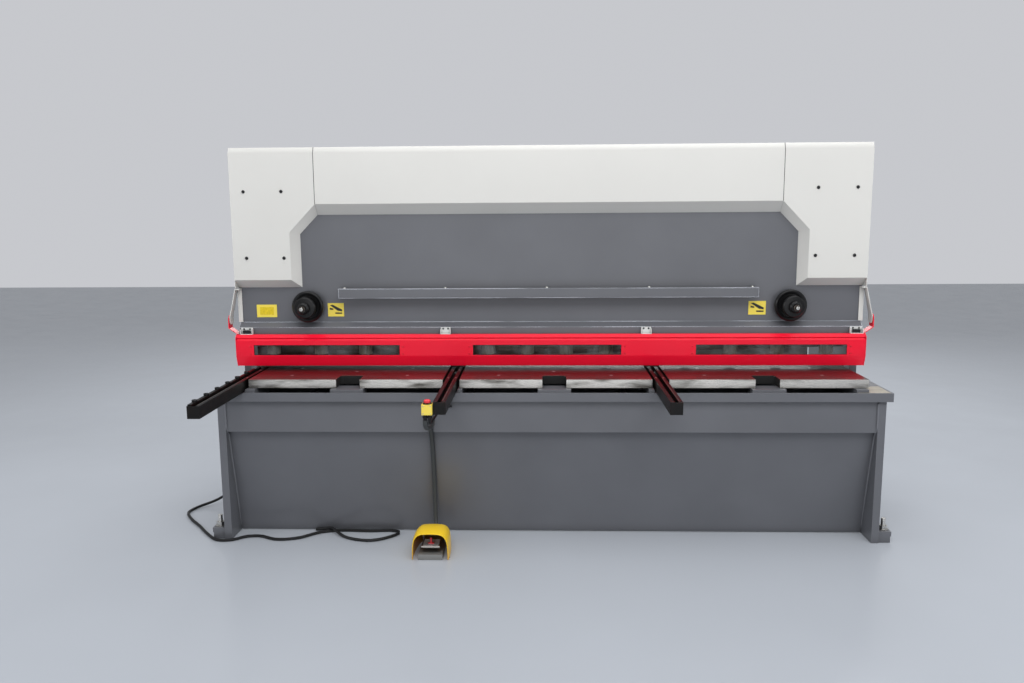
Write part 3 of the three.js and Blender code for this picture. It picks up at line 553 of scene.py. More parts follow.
def button_head(radius, height):
    hole = radius * 0.42
    return [
        (0, height * 0.45),
        (hole, height * 0.45, "hex"),
        (hole, height, "hex"),
        (radius * 0.6, height * 0.97),
        (radius * 0.86, height * 0.7),
        (radius, height * 0.2),
        (radius, -SUNK),
        (0, -SUNK),
    ]


def hex_head(radius, height):
    """A hexagon bolt's head on its washer."""
    washer = height * 0.2
    return [
        (0, height),
        (radius * 0.82, height),
        (radius * 0.88, height * 0.93, "hex"),
        (radius * 0.88, washer, "hex"),
        (radius * 1.3, washer),
        (radius * 1.3, -SUNK),
        (0, -SUNK),
    ]


def tube(name, points, radius, look, body="frame", smooth=True, sides=4):
    """A round cable or pipe. A smooth one passes through its points; a bent one turns at them."""
    curve = bpy.data.curves.new(name, "CURVE")
    curve.dimensions = "3D"
    curve.bevel_depth = radius
    curve.bevel_resolution = sides
    curve.use_fill_caps = True
    curve.resolution_u = 10
    if smooth:
        spline = curve.splines.new("BEZIER")
        spline.bezier_points.add(len(points) - 1)
        for knot, point in zip(spline.bezier_points, points):
            knot.co = point
            knot.handle_left_type = knot.handle_right_type = "AUTO"
    else:
        path = bent(points, radius * 3.5)
        spline = curve.splines.new("POLY")
        spline.points.add(len(path) - 1)
        for knot, point in zip(spline.points, path):
            knot.co = (*point, 1)
    obj = bpy.data.objects.new(name, curve)
    bpy.context.scene.collection.objects.link(obj)
    curve.materials.append(look)
    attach(obj, body)
    return obj


def bent(points, radius, steps=6):
    """The points of a pipe with each corner turned into an arc."""
    points = [Vector(p) for p in points]
    path = [points[0]]
    for before, corner, after in zip(points, points[1:], points[2:]):
        one, two = (before - corner).normalized(), (after - corner).normalized()
        reach = min(radius, (before - corner).length * 0.45, (after - corner).length * 0.45)
        start, end = corner + one * reach, corner + two * reach
        for i in range(steps + 1):
            t = i / steps
            path.append(start.lerp(corner, t).lerp(corner.lerp(end, t), t))
    path.append(points[-1])
    return path


# ---- covers

end_low, end_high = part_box("end_cover_right")
COVER_FACE = end_low.y
COVER_SCREWS = [(dx, dz) for dx in (0.07, 0.263) for dz in (0.154, 0.489)]  # in from the outer lower corner
for side, s in SIDES.items():
    spots = [(s * (end_high.x - dx), COVER_FACE, end_low.z + dz) for dx, dz in COVER_SCREWS]
    turned(f"cover_screws_{side}", button_head(0.0085, 0.005), spots, -Y, BLACK_STEEL, round_edges=0.0003)

top_low, top_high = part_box("top_cover")
SEAM_HALF = 0.0014
SEAM_REAR = 0.12
SEAM_Z = (top_low.z + 0.055, top_high.z - 0.033)  # from its lower end to the fold


def seam(bm, x):
    """The dark line between two covers: up the face, over the fold and back along the top."""
    face, (low_z, fold_z), over, under = COVER_FACE - 0.0002, SEAM_Z, top_high.z + 0.0002, top_high.z - 0.001
    outer = [(face, low_z), (face, fold_z), (face + 0.014, over), (SEAM_REAR, over)]
    inner = [(SEAM_REAR, under), (face + 0.0155, under), (face + 0.0012, fold_z), (face + 0.0012, low_z)]
    add_prism(bm, [(x, y, z) for y, z in outer + inner], X * -SEAM_HALF, X * SEAM_HALF)


for side, s in SIDES.items():
    piece(f"cover_seam_{side}", lambda bm, x=s * top_high.x: seam(bm, x), SEAM_AND_SHADE_BLACK)

# ---- front plate

ledge_low, ledge_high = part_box("ledge_rail")
PLATE_FACE = ledge_high.y + 0.0003
wheel_low, wheel_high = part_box("handwheel_right")
WHEEL_X = (wheel_low.x + wheel_high.x) / 2
WHEEL_Z = (wheel_low.z + wheel_high.z) / 2


def label(name, x, z, width, height, marks, ink):
    """A yellow plate with a few plain marks, each an outline in shares of the plate."""
    front = PLATE_FACE - 0.0012
    blocks(
        name,
        [((x - width / 2, front, z - height / 2), (x + width / 2, PLATE_FACE + SUNK, z + height / 2))],
        LABEL_YELLOW,
        round_edges=0.0005,
    )

    def build(bm):
        for outline in marks:
            spots = [(x + (u - 0.5) * width, front, z + (v - 0.5) * height) for u, v in outline]
            add_prism(bm, spots, -Y * 0.0005, Y * 0.0003)

    piece(f"{name}_marks", build, ink)


INNER_BLOCK = [[(0.16, 0.2), (0.16, 0.8), (0.84, 0.8), (0.84, 0.2)]]
BLADE_SIGN = [
    [(0.14, 0.84), (0.3, 0.88), (0.88, 0.52), (0.88, 0.38), (0.6, 0.44)],
    [(0.46, 0.2), (0.46, 0.3), (0.88, 0.3), (0.88, 0.2)],
    [(0.12, 0.52), (0.12, 0.66), (0.34, 0.6), (0.34, 0.5)],
]
label("plate_label_left", -WHEEL_X - 0.227, WHEEL_Z - 0.025, 0.106, 0.066, INNER_BLOCK, LABEL_OCHRE)
label("sign_left", -WHEEL_X + 0.136, WHEEL_Z - 0.02, 0.084, 0.07, BLADE_SIGN, LABEL_BLACK)
label("sign_right", WHEEL_X - 0.158, WHEEL_Z - 0.016, 0.088, 0.07, BLADE_SIGN, LABEL_BLACK)

spots = [(0.52 * i, ledge_low.y + 0.03, ledge_high.z) for i in range(-2, 3)]
turned("ledge_screws", button_head(0.008, 0.005), spots, Z, ZINC, round_edges=0.0003)

# Bearing flange behind each handwheel, the socket in the end of its spindle and the grip on its rim
for side, s in SIDES.items():
    body = f"handwheel_{side}"
    hub = Vector((s * WHEEL_X, PLATE_FACE, WHEEL_Z))
    thick = 0.0065
    flange = closed([(0.024, thick), (0.05, thick), (0.052, thick - 0.002), (0.052, -SUNK), (0.024, -SUNK)])
    turned(f"spindle_flange_{side}", flange, [hub], -Y, BLACK_STEEL, 40, slot="machined_steel")
    around_hub = [Vector((math.cos(a), 0, math.sin(a))) * 0.039 for a in (0.8, 2.37, 3.94, 5.5)]
    spots = [hub - Y * thick + way for way in around_hub]
    turned(f"flange_screws_{side}", button_head(0.0045, 0.0012), spots, -Y, ZINC)
    end = [(s * WHEEL_X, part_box(f"handwheel_spindle_{side}")[0].y, WHEEL_Z)]
    socket = socket_head(0.0085, 0.004)
    turned(f"spindle_socket_{side}", socket, end, -Y, ZINC, body=body, slot="ground_steel")
    inside, outside, crest = 0.0795, 0.0805, 0.0812
    rim = [(outside, 0.033), (crest, 0.0345), (crest, 0.0435), (outside, 0.045)]
    rim += [(inside, 0.045), (inside, 0.033)]
    turned(f"handwheel_grip_{side}", closed(rim), [hub], -Y, BLACK_PLASTIC, 72, body=body)

# ---- guard

GUARD_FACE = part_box("guard")[0].y + 0.001
pane_low, pane_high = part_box("guard_window")
LIP_Z = pane_high.z + 0.046  # the guard's upper lip
LIP_Y = (-0.1125, -0.0925)
CLIP_X = (-1.556, -0.521, 0.507, 1.565)
for i, x in enumerate(CLIP_X, 1):
    outer = abs(x) > 1
    half = 0.031 if outer else 0.025
    y0, y1 = LIP_Y
    foot = ((x - half, y0, LIP_Z - SUNK), (x + half, y1, LIP_Z + 0.003))
    wall = ((x - half, y1 - 0.003, LIP_Z), (x + half, y1, LIP_Z + 0.034))
    ends = (x - half, x + half)
    cheeks = [((end - 0.0015, y0 + 0.002, LIP_Z), (end + 0.0015, y1, LIP_Z + 0.026)) for end in ends]
    blocks(f"guard_clip_{i}", [foot, wall, *cheeks], CLIP_WHITE, body="guard", round_edges=0.0006)
    if outer:
        wide = half * 0.62
        rubber = ((x - wide, y0 + 0.003, LIP_Z + 0.002), (x + wide, y1 - 0.0025, LIP_Z + 0.021))
        blocks(f"guard_clip_pad_{i}", [rubber], BLACK_STEEL, body="guard", round_edges=0.002)
    spots = [(x + e * half * 0.5, y1 - 0.003, LIP_Z + 0.027) for e in (-1, 1)]
    turned(f"guard_clip_screws_{i}", button_head(0.0045, 0.003), spots, -Y, BLACK_STEEL, body="guard")

PANE_Z = (pane_low.z + 0.0055, pane_high.z - 0.007)  # the openings' lower and upper edges
WINDOW_X = (-1.135, 0.0, 1.135)
WINDOW_HALF = 0.3785
TRIM = 0.002
for i, x in enumerate(WINDOW_X, 1):
    y, (z0, z1) = GUARD_FACE, PANE_Z
    x0, x1, back = x - WINDOW_HALF, x + WINDOW_HALF, y + 0.003
    edges = [
        ((x0, y, z0), (x1, back, z0 + TRIM)),
        ((x0, y, z1 - TRIM), (x1, back, z1)),
        ((x0, y, z0), (x0 + TRIM, back, z1)),
        ((x1 - TRIM, y, z0), (x1, back, z1)),
    ]
    blocks(f"window_trim_{i}", edges, RUBBER, body="guard", round_edges=0.0004)
    spots = [(end, y, z) for end in (x0 - 0.018, x1 + 0.018) for z in (z0 + 0.008, z1 - 0.008)]
    turned(f"window_screws_{i}", button_head(0.0045, 0.0025), spots, -Y, LOOKS["red_paint"], body="guard")

# ---- table and arms

NOTCH_X = {"left": -0.966, "centre": 0.034, "right": 1.05}
NOTCH = (0.0575, 0.1, 0.02)  # half of its width, its depth, its corners' radius


def notch_outline(x, front, grown):
    """The hand notch seen from above, drawn grown metres outside its wall."""
    half, back, radius = (size + grown for size in NOTCH)
    line = [(x - half, front + 0.001)]
    for s, begin in ((-1, 180), (1, 90)):
        for step in range(7):
            angle = math.radians(begin - 15 * step)
            across = s * (half - radius) + radius * math.cos(angle)
            line.append((x + across, front + back - radius + radius * math.sin(angle)))
    return [*line, (x + half, front + 0.001)]


def notch_shade_skin(bm, x, low, high):
    """A thin dark skin on the wall of a hand notch: painted shade in the recess."""
    outer, inner = (notch_outline(x, low.y, grown) for grown in (0.0002, -0.0004))
    for i in range(len(outer) - 1):
        quad = [(u, v, 0) for u, v in (outer[i], outer[i + 1], inner[i + 1], inner[i])]
        add_prism(bm, quad, Z * (low.z + 0.0008), Z * (high.z - 0.0006))


for side, notch_x in NOTCH_X.items():
    low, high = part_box(f"table_insert_{side}")
    ends = (low.x + 0.185, high.x - 0.188)
    spots = [(x, low.y + dy, high.z) for dy in (0.107, 0.3) for x in ends]
    spots.append((notch_x, low.y + 0.212, high.z))
    turned(f"insert_screws_{side}", socket_head(0.0085, 0.0006), spots, Z, ALUMINIUM)
    # Painted shade: a dark skin over each notch's wall.
    piece(f"notch_shade_{side}", lambda bm, x=notch_x, a=low, b=high: notch_shade_skin(bm, x, a, b), SEAM_AND_SHADE_BLACK)

for name in ("side_gauge_arm", "support_arm_centre", "support_arm_right"):
    low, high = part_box(name)
    x = (low.x + high.x) / 2
    plate = ((x - 0.0255, low.y - 0.0002, low.z + 0.002), (x + 0.0255, low.y + 0.004, high.z - 0.002))
    blocks(f"{name}_end_plate", [plate], LOOKS["black_paint"], slot="black_paint")
    spots = [(x + e * 0.018, high.y - dy, high.z) for e in (-1, 1) for dy in (0.097, 0.3)]
    turned(f"{name}_screws", socket_head(0.0055, 0.0008), spots, Z, ZINC)
    # A steel rule let into one side of the slot
    rule = ((x + 0.0105, low.y + 0.02, high.z - 0.0004), (x + 0.0145, high.y - 0.32, high.z + 0.0003))
    blocks(f"{name}_rule", [rule], LOOKS["blade_steel"], slot="ground_steel", round_edges=0.0)

fence_low, fence_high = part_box("side_gauge_fence")
fence_x = (fence_low.x + fence_high.x) / 2
spots = [(fence_x, fence_low.y + 0.058 + 0.13 * i, fence_high.z) for i in range(6)]
turned("fence_screws", socket_head(0.012, 0.0085), spots, Z, BLACK_STEEL, round_edges=0.0008)

# Bare, oily land at the right end of the bed plate, beside the insert and in front of it
bed_low, bed_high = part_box("bed_plate")
BED_TOP = bed_high.z - 0.0137  # its pads stand higher
insert_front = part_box("table_insert_right")[0].y
LAND_Z = (BED_TOP - SUNK, BED_TOP + 0.0003)
LAND_X = (1.462, 1.528, bed_high.x - 0.012)
lands = [
    ((x0, bed_low.y + 0.006, LAND_Z[0]), (x1, rear, LAND_Z[1]))
    for x0, x1, rear in ((LAND_X[1], LAND_X[2], -0.3), (LAND_X[0], LAND_X[1], insert_front - 0.001))
]
blocks("bed_bare_land", lands, BARE_BEIGE, round_edges=0.0)

# Weld beads where the bed's front meets the side frames
panel_low, panel_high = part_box("bed_box")
for side, s in SIDES.items():
    line = ((-0.44, 0.69), (-0.44, 0.56), (-0.413, 0.53), (-0.31, 0.03))
    tube(f"weld_bead_{side}", [(s * panel_high.x, y, z) for y, z in line], 0.0055, WELD_GREY, smooth=False)

# ---- emergency stop

stop_low, stop_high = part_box("estop_box")
button_low, button_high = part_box("estop_button")
stop_x, stop_y = (button_low.x + button_high.x) / 2, (button_low.y + button_high.y) / 2
# The ring around the button's head leaves room for its travel
collar = closed([(0.0158, 0.003), (0.0188, 0.003), (0.0198, 0.002), (0.0198, -SUNK), (0.0158, -SUNK)])
turned("estop_collar", collar, [(stop_x, stop_y, stop_high.z)], Z, BLACK_STEEL, 32)
stop_z = stop_high.z - 0.0225  # the middle of the box itself, without its glands
spots = [(stop_x + dx, stop_low.y, stop_z + dz) for dx in (-0.016, 0.016) for dz in (-0.0165, 0.0165)]
turned("estop_box_screws", button_head(0.0025, 0.0016), spots, -Y, ZINC, 16)
gland = [
    (0, 0.0305),
    (0.0085, 0.0305),
    (0.0085, 0.021),
    (0.0095, 0.0205, "hex"),
    (0.0095, 0.0125, "hex"),
    (0.0085, 0.012),
    (0.0075, 0.0015),
    (0.006, -0.002),
    (0, -0.002),
]
spots = [(stop_x + dx, stop_y, stop_low.z) for dx in (-0.01, 0.01)]
turned("estop_glands", gland, spots, Z, RUBBER, slot="cable_rubber", round_edges=0.0005)

# ---- foot pedal

hood_low, hood_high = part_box("pedal_hood")
hood_x = (hood_low.x + hood_high.x) / 2
apron_y = panel_low.y
# From the stop box back under the arm, over the bed's edge, down its front and into the hood
run = [
    (stop_x - 0.01, stop_y, stop_low.z + 0.004),
    (stop_x - 0.01, stop_y + 0.004, stop_low.z - 0.02),
    (stop_x - 0.006, stop_y + 0.05, stop_low.z - 0.045),
    (stop_x - 0.012, stop_y + 0.26, stop_low.z - 0.06),
    (hood_x - 0.014, bed_low.y - 0.045, bed_low.z - 0.045),
    (hood_x - 0.016, apron_y - 0.016, bed_low.z - 0.1),
    (hood_x - 0.016, apron_y - 0.012, 0.57),
    (hood_x - 0.015, apron_y + 0.02, 0.5),
    (hood_x - 0.013, apron_y + 0.052, 0.33),
    (hood_x - 0.011, apron_y + 0.06, 0.14),
    (hood_x - 0.006, hood_high.y + 0.036, 0.062),
    (hood_x, hood_high.y + 0.012, 0.046),
    (hood_x, hood_high.y - 0.012, 0.045),
]
tube("pedal_cable", run, 0.0105, GREY_RUBBER)
stub = [
    (stop_x + 0.01, stop_y, stop_low.z + 0.004),
    (stop_x + 0.011, stop_y + 0.008, stop_low.z - 0.012),
    (stop_x + 0.014, stop_y + 0.07, stop_low.z - 0.012),
    (stop_x + 0.04, stop_y + 0.26, stop_low.z + 0.006),
    (stop_x + 0.05, bed_low.y - 0.012, bed_low.z - 0.02),
    (stop_x + 0.05, bed_low.y + 0.03, bed_low.z - 0.03),
]
tube("estop_cable", stub, 0.0055, RUBBER)
clamp_x = (hood_x - 0.034, hood_x + 0.002)
clamp_y = (apron_y - 0.004, apron_y + 0.001)
clamps = [((clamp_x[0], clamp_y[0], z), (clamp_x[1], clamp_y[1], z + 0.014)) for z in (0.585, 0.635)]
blocks("cable_clamps", clamps, BLACK_STEEL, round_edges=0.0015)
tread_low, tread_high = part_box("pedal_lever")
rib_x, rib_z = (tread_low.x + 0.006, tread_high.x - 0.006), (tread_high.z - 0.0015, tread_high.z + 0.001)
rib_y = [tread_low.y + 0.012 + 0.014 * i for i in range(6)]
ribs = [((rib_x[0], y, rib_z[0]), (rib_x[1], y + 0.007, rib_z[1])) for y in rib_y]
blocks("pedal_tread_ribs", ribs, ALUMINIUM, body="pedal")
foot = Vector((hood_x, tread_low.y, tread_high.z))
latch = [
    (foot + Vector((-0.005, 0.03, -0.001)), foot + Vector((0.005, 0.036, 0.03))),
    (foot + Vector((-0.014, 0.028, -0.001)), foot + Vector((0.014, 0.038, 0.006))),
]
blocks("pedal_latch", latch, LOOKS["red_plastic"], body="pedal", slot="red_plastic", round_edges=0.0015)

# ---- feet

LUG_X = 1.636
LEVELLING_SCREW = [
    (0, 0.112),
    (0.0095, 0.112),
    (0.0115, 0.109),
    (0.0115, 0.076),
    (0.0185, 0.076, "hex"),
    (0.0185, 0.0595, "hex"),
    (0.026, 0.0595),
    (0.026, 0.0562),
    (0, 0.0562),
]
pad = [(0, 0.0318), (0.0115, 0.0318), (0.0115, 0.016), (0.02, 0.012), (0.029, 0.009), (0.03, 0.0), (0, 0.0)]
for side, s in SIDES.items():
    low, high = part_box(f"side_frame_{side}")
    x = s * LUG_X
    for where, y in (("front", low.y + 0.047), ("rear", high.y - 0.05)):
        turned(f"levelling_screw_{side}_{where}", LEVELLING_SCREW, [(x, y, 0)], Z, ZINC, round_edges=0.0005)
        turned(f"levelling_pad_{side}_{where}", pad, [(x, y, 0)], Z, BLACK_STEEL, 32, round_edges=0.0008)

# ---- hydraulics at the back

tank_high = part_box("oil_tank")[1]
TANK_TOP = tank_high.z - 0.026  # the filler neck stands above it
neck = Vector((0.33, 0.3, tank_high.z))
cap = [(0, 0.022), (0.02, 0.022), (0.022, 0.019), (0.05, 0.017), (0.053, 0.014)]
cap += [(0.053, -0.012), (0.0465, -0.014), (0.0465, 0.0), (0, 0.0)]
turned("filler_cap", cap, [neck], Z, BLACK_PLASTIC, 40, round_edges=0.0008)
block_low, block_high = Vector((0.288, 0.392, TANK_TOP)), Vector((0.392, 0.53, TANK_TOP + 0.085))
blocks("valve_block", [(block_low, block_high)], LOOKS["machined_steel"], round_edges=0.002)
coil = [
    (0, -SUNK),
    (0.021, -SUNK),
    (0.021, 0.004),
    (0.018, 0.006),
    (0.018, 0.01),
    (0.026, 0.012),
    (0.026, 0.062),
    (0.023, 0.065),
    (0.011, 0.066),
    (0.011, 0.082),
    (0, 0.084),
]
valve = Vector((block_low.x + 0.03, block_low.y + 0.04, block_high.z))
spots = [valve, valve + Vector((0.05, 0.062, 0))]
turned("valve_coils", coil, spots, Z, BLACK_PLASTIC, 28, round_edges=0.0008)
knob = [(0, 0.03), (0.011, 0.03), (0.012, 0.027), (0.012, 0.008), (0.008, 0.006), (0.008, -SUNK), (0, -SUNK)]
turned("relief_valve_knob", knob, [valve + Y * 0.062], Z, ZINC, 24, round_edges=0.0006)
dial_at = Vector((block_high.x - 0.02, block_low.y + 0.06, block_high.z + 0.05))
dial = [(0, 0.0), (0.026, 0.0), (0.03, 0.003), (0.03, 0.02), (0.028, 0.023), (0.0265, 0.0205), (0, 0.0205)]
turned("pressure_gauge", dial, [dial_at], Y, BLACK_STEEL, 40, round_edges=0.0006)
face_at = dial_at + Y * 0.0207
turned("pressure_gauge_face", rod(0.025, -SUNK, 0.0006), [face_at], Y, CLIP_WHITE, 40)


def gauge_marks(bm):
    """Ticks around the dial, and its needle."""
    for i in range(11):
        angle = math.radians(225 - 27 * i)
        along = Vector((math.cos(angle), 0, math.sin(angle)))
        across = Vector((-along.z, 0, along.x)) * 0.0005
        near, far = face_at + along * 0.019, face_at + along * 0.0235
        outline = [near - across, far - across, far + across, near + across]
        add_prism(bm, outline, Y * 0.0003, Y * 0.0009)
    needle = [(-0.0012, 0, 0), (0.0012, 0, 0), (0.0105, 0, 0.0135)]
    add_prism(bm, [face_at + Vector(p) for p in needle], Y * 0.0003, Y * 0.0014)


piece("pressure_gauge_marks", gauge_marks, LABEL_BLACK)
stem = dial_at - Z * 0.026 + Y * 0.012
turned("pressure_gauge_stem", rod(0.007, -0.026, 0.002), [stem], Z, ZINC, 20)

PIPE_Z = 1.76
union = closed([(0.008, 0), (0.013, 0, "hex"), (0.013, 0.016, "hex"), (0.009, 0.02), (0.008, 0.02)])
for side, s in SIDES.items():
    cyl_low, cyl_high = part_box(f"main_cylinder_{side}")
    cyl_x = (cyl_low.x + cyl_high.x) / 2
    for which, port_z, lane in (("upper", cyl_high.z - 0.05, 0.0), ("lower", cyl_low.z + 0.06, 0.035)):
        rise, drop = (0.06, 0.02) if s > 0 else (0.03, 0)
        start = Vector((block_low.x + 0.02 + lane, block_low.y, block_low.z + rise))
        y = cyl_high.y + 0.055 + lane
        z = PIPE_Z - lane * 1.4 - drop
        path = [
            start,
            start - Y * 0.05,
            (start.x, start.y - 0.05, z),
            (start.x, y, z),
            (cyl_x, y, z),
            (cyl_x, y, port_z),
            (cyl_x, cyl_high.y - 0.004, port_z),
        ]
        tube(f"oil_pipe_{side}_{which}", path, 0.0075, ZINC, smooth=False)
        turned(f"pipe_union_{side}_{which}", union, [(cyl_x, cyl_high.y - 0.002, port_z)], Y, BLACK_STEEL)

# Sight glass and drain plug on the tank's back
glass = Vector((-0.33, tank_high.y, 1.34))
frame_boxes = [
    (glass + Vector((-0.014, -SUNK, 0)), glass + Vector((0.014, 0.012, 0.022))),
    (glass + Vector((-0.014, -SUNK, 0.118)), glass + Vector((0.014, 0.012, 0.14))),
    (glass + Vector((-0.014, -SUNK, 0.02)), glass + Vector((0.014, 0.003, 0.12))),
]
blocks("sight_glass_frame", frame_boxes, BLACK_PLASTIC, round_edges=0.0015)
turned("sight_glass", rod(0.006, 0.02, 0.12), [glass + Y * 0.007], Z, GLASS, 20)
turned("drain_plug", hex_head(0.014, 0.014), [(0.3, tank_high.y, 1.282)], Y, ZINC, round_edges=0.0006)

# ---- pump motor

motor_low, motor_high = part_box("pump_motor")
axis_y, axis_z = (motor_low.y + motor_high.y) / 2, motor_high.z - 0.13
FINS = 40


def fins(bm):
    """Thin cooling ribs along the motor's body, but for its foot and its terminal box."""
    for i in range(FINS):
        angle = 2 * math.pi * i / FINS
        out = Vector((0, math.cos(angle), math.sin(angle)))
        if abs(out.y) < 0.35:
            continue
        side_way = Vector((0, -out.z, out.y)) * 0.0012
        near, far = out * 0.085, out * 0.0955
        outline = [near - side_way, far - side_way * 0.6, far + side_way * 0.6, near + side_way]
        centre = Vector((0, axis_y, axis_z))
        add_prism(bm, [centre + p for p in outline], X * -0.238, X * 0.038)


piece("motor_fins", fins, MOTOR_BLUE, slot="motor_paint")


def cowl_grille(bm):
    """Rings on the end of the fan cowl."""
    for r in (0.02, 0.034, 0.048, 0.062, 0.076):
        ring = closed([(r, 0), (r + 0.005, 0), (r + 0.005, 0.0016), (r, 0.0016)])
        add_turned(bm, ring, (motor_low.x, axis_y, axis_z), -X, 36)


piece("motor_cowl_grille", cowl_grille, MOTOR_BLUE, slot="motor_paint")
ridge = closed([(0.0955, 0), (0.0985, 0.002), (0.0985, 0.008), (0.0955, 0.01)])
turned("motor_end_bands", ridge, [(x, axis_y, axis_z) for x in (-0.262, 0.044)], X, MOTOR_BLUE, 48)
lid_at = Vector((-0.11, axis_y, motor_high.z))
lid = [(lid_at - Vector((0.055, 0.055, 0.001)), lid_at + Vector((0.055, 0.055, 0.006)))]
blocks("terminal_box_lid", lid, MOTOR_BLUE, round_edges=0.002)
spots = [lid_at + Vector((dx, dy, 0.006)) for dx in (-0.045, 0.045) for dy in (-0.045, 0.045)]
turned("terminal_box_screws", button_head(0.004, 0.0025), spots, Z, ZINC, 16)
conduit = [
    (lid_at.x, axis_y + 0.05, axis_z + 0.1),
    (lid_at.x, axis_y + 0.085, axis_z + 0.1),
    (-0.13, axis_y + 0.12, axis_z + 0.06),
    (-0.3, axis_y + 0.14, TANK_TOP + 0.014),
    (-0.46, axis_y + 0.13, TANK_TOP - 0.05),
    (-0.62, axis_y + 0.12, 1.44),
    (-0.862, axis_y + 0.12, 1.46),
]
tube("motor_conduit", conduit, 0.009, RUBBER)

# ---- gauge drive

BELT_Y = (0.788, 0.803)
PULLEY_R = 0.03
PULLEYS = {"left": (-1.05, 0.7), "right": (1.05, 0.7), "motor": (0.82, 0.6)}
pulley = [
    (0.012, 0),
    (PULLEY_R + 0.004, 0),
    (PULLEY_R + 0.004, 0.0015),
    (PULLEY_R, 0.003),
    (PULLEY_R, 0.017),
    (PULLEY_R + 0.004, 0.0185),
    (PULLEY_R + 0.004, 0.02),
    (0.012, 0.02),
    (0.012, 0),
]
for name, (x, z) in PULLEYS.items():
    body = "frame" if name == "motor" else f"lead_screw_{name}"
    turned(f"gauge_pulley_{name}", pulley, [(x, BELT_Y[0] - 0.0025, z)], Y, ALUMINIUM, 36, body=body)
gear_motor = [
    (0, -0.19),
    (0.036, -0.19),
    (0.04, -0.182),
    (0.04, -0.12),
    (0.037, -0.118),
    (0.037, -0.03),
    (0.045, -0.028),
    (0.045, 0.0),
    (0.012, 0.0),
    (0.011, 0.028),
    (0, 0.028),
]
motor_x, motor_z = PULLEYS["motor"]
turned("gauge_motor", gear_motor, [(motor_x, 0.776, motor_z)], Y, MOTOR_BLUE, 36, round_edges=0.0008)
bracket = [
    ((0.765, 0.767, 0.535), (1.012, 0.773, 0.655)),
    ((1.004, 0.65, 0.562), (1.0105, 0.77, 0.638)),
]
blocks("gauge_motor_bracket", bracket, LOOKS["grey_paint"], slot="grey_paint")


def around(circles, radius):
    """The outline of a belt round equal pulleys: the hull of their circles."""
    angles = [2 * math.pi * i / 36 for i in range(36)]
    spots = sorted((x + radius * math.cos(a), z + radius * math.sin(a)) for x, z in circles for a in angles)

    def half(points):
        chain = []
        for p in points:
            while len(chain) > 1:
                (ax, az), (bx, bz) = chain[-2:]
                if (bx - ax) * (p[1] - az) - (bz - az) * (p[0] - ax) > 1e-12:
                    break
                chain.pop()
            chain.append(p)
        return chain[:-1]

    return half(spots) + half(spots[::-1])


def belt(bm):
    """A closed band: its outer outline and the same outline drawn in by the belt's thickness."""
    thick = 0.0025
    outer = around(PULLEYS.values(), PULLEY_R + thick)
    count = len(outer)
    inner = []
    for i, (x, z) in enumerate(outer):
        before, after = outer[i - 1], outer[(i + 1) % count]
        along = Vector((after[0] - before[0], after[1] - before[1])).normalized()
        inner.append((x - along.y * thick, z + along.x * thick))
    rings = [[bm.verts.new((x, y, z)) for x, z in line] for line in (outer, inner) for y in BELT_Y]
    a, b, c, d = rings
    for i in range(count):
        j = (i + 1) % count
        for one, two in ((a, b), (b, d), (d, c), (c, a)):
            bm.faces.new([one[i], one[j], two[j], two[i]])


piece("gauge_belt", belt, RUBBER, slot="cable_rubber")

# ---- chute for cut pieces

CHUTE_X = 0.985


def chute(bm):
    """A folded sheet that slopes down and back below the cut, with raised sides."""
    top, foot = Vector((0, 0.012, 0.56)), Vector((0, 0.66, 0.2))
    down = (foot - top).normalized()
    up = Vector((0, -down.z, down.y)) * 0.003
    sheet = [top, foot, foot + up, top + up]
    add_prism(bm, sheet, X * -CHUTE_X, X * CHUTE_X)
    for e in (-1, 1):
        rim = [top + up * 0.2, foot + up * 0.2, foot + up * 12, top + up * 12]
        add_prism(bm, rim, X * e * (CHUTE_X - 0.003), X * e * (CHUTE_X + 0.0005))
    lip = [foot, foot + down * 0.03 + Z * 0.018, foot + down * 0.03 + Z * 0.021, foot + up]
    add_prism(bm, lip, X * -CHUTE_X, X * CHUTE_X)


piece("rear_chute", chute, LOOKS["grey_paint"], slot="grey_paint", round_edges=0.0008)
stays = [((x - 0.02, 0.62, 0.0), (x + 0.02, 0.628, 0.222)) for x in (-0.9, 0.0, 0.9)]
stays += [((x - 0.02, 0.56, 0.0), (x + 0.02, 0.66, 0.006)) for x in (-0.9, 0.0, 0.9)]
blocks("chute_stays", stays, LOOKS["grey_paint"], slot="grey_paint")

# ---- electric cabinet

door_low, door_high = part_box("cabinet_door")
DOOR_FACE = door_high.y - 0.025
louvre_x = (door_low.x + door_high.x) / 2


def louvres(bm):
    for low_z in (door_low.z + 0.06, door_high.z - 0.15):
        for i in range(6):
            z = low_z + 0.016 * i
            profile = [(-SUNK, 0), (0.006, 0), (0.0045, 0.004), (-SUNK, 0.01)]
            add_prism(bm, [(louvre_x, DOOR_FACE + y, z + up) for y, up in profile], X * -0.11, X * 0.11)


piece("door_louvres", louvres, LOOKS[slot_of["cabinet_door"]], body="cabinet_door", round_edges=0.0006)
knob_at = Vector((door_high.x - 0.09, door_high.y, (door_low.z + door_high.z) / 2))
wing = [(knob_at - Vector((0.006, SUNK, 0.03)), knob_at + Vector((0.006, 0.012, 0.03)))]
blocks("door_knob_wing", wing, BLACK_PLASTIC, body="cabinet_door", round_edges=0.003)
barrel = [(0, -0.03), (0.006, -0.03), (0.0066, -0.029), (0.0066, 0.029), (0.006, 0.03), (0, 0.03)]
for i, z in enumerate((door_low.z + 0.07, door_high.z - 0.07), 1):
    hinge_at = (door_low.x, door_low.y + 0.0075, z)  # on the axis that the door turns about
    turned(f"door_hinge_{i}", barrel, [hinge_at], Z, ZINC, 20, body="cabinet_door")
rain = [((door_low.x - 0.004, 0.325, door_high.z), (door_high.x + 0.004, 0.628, door_high.z + 0.004))]
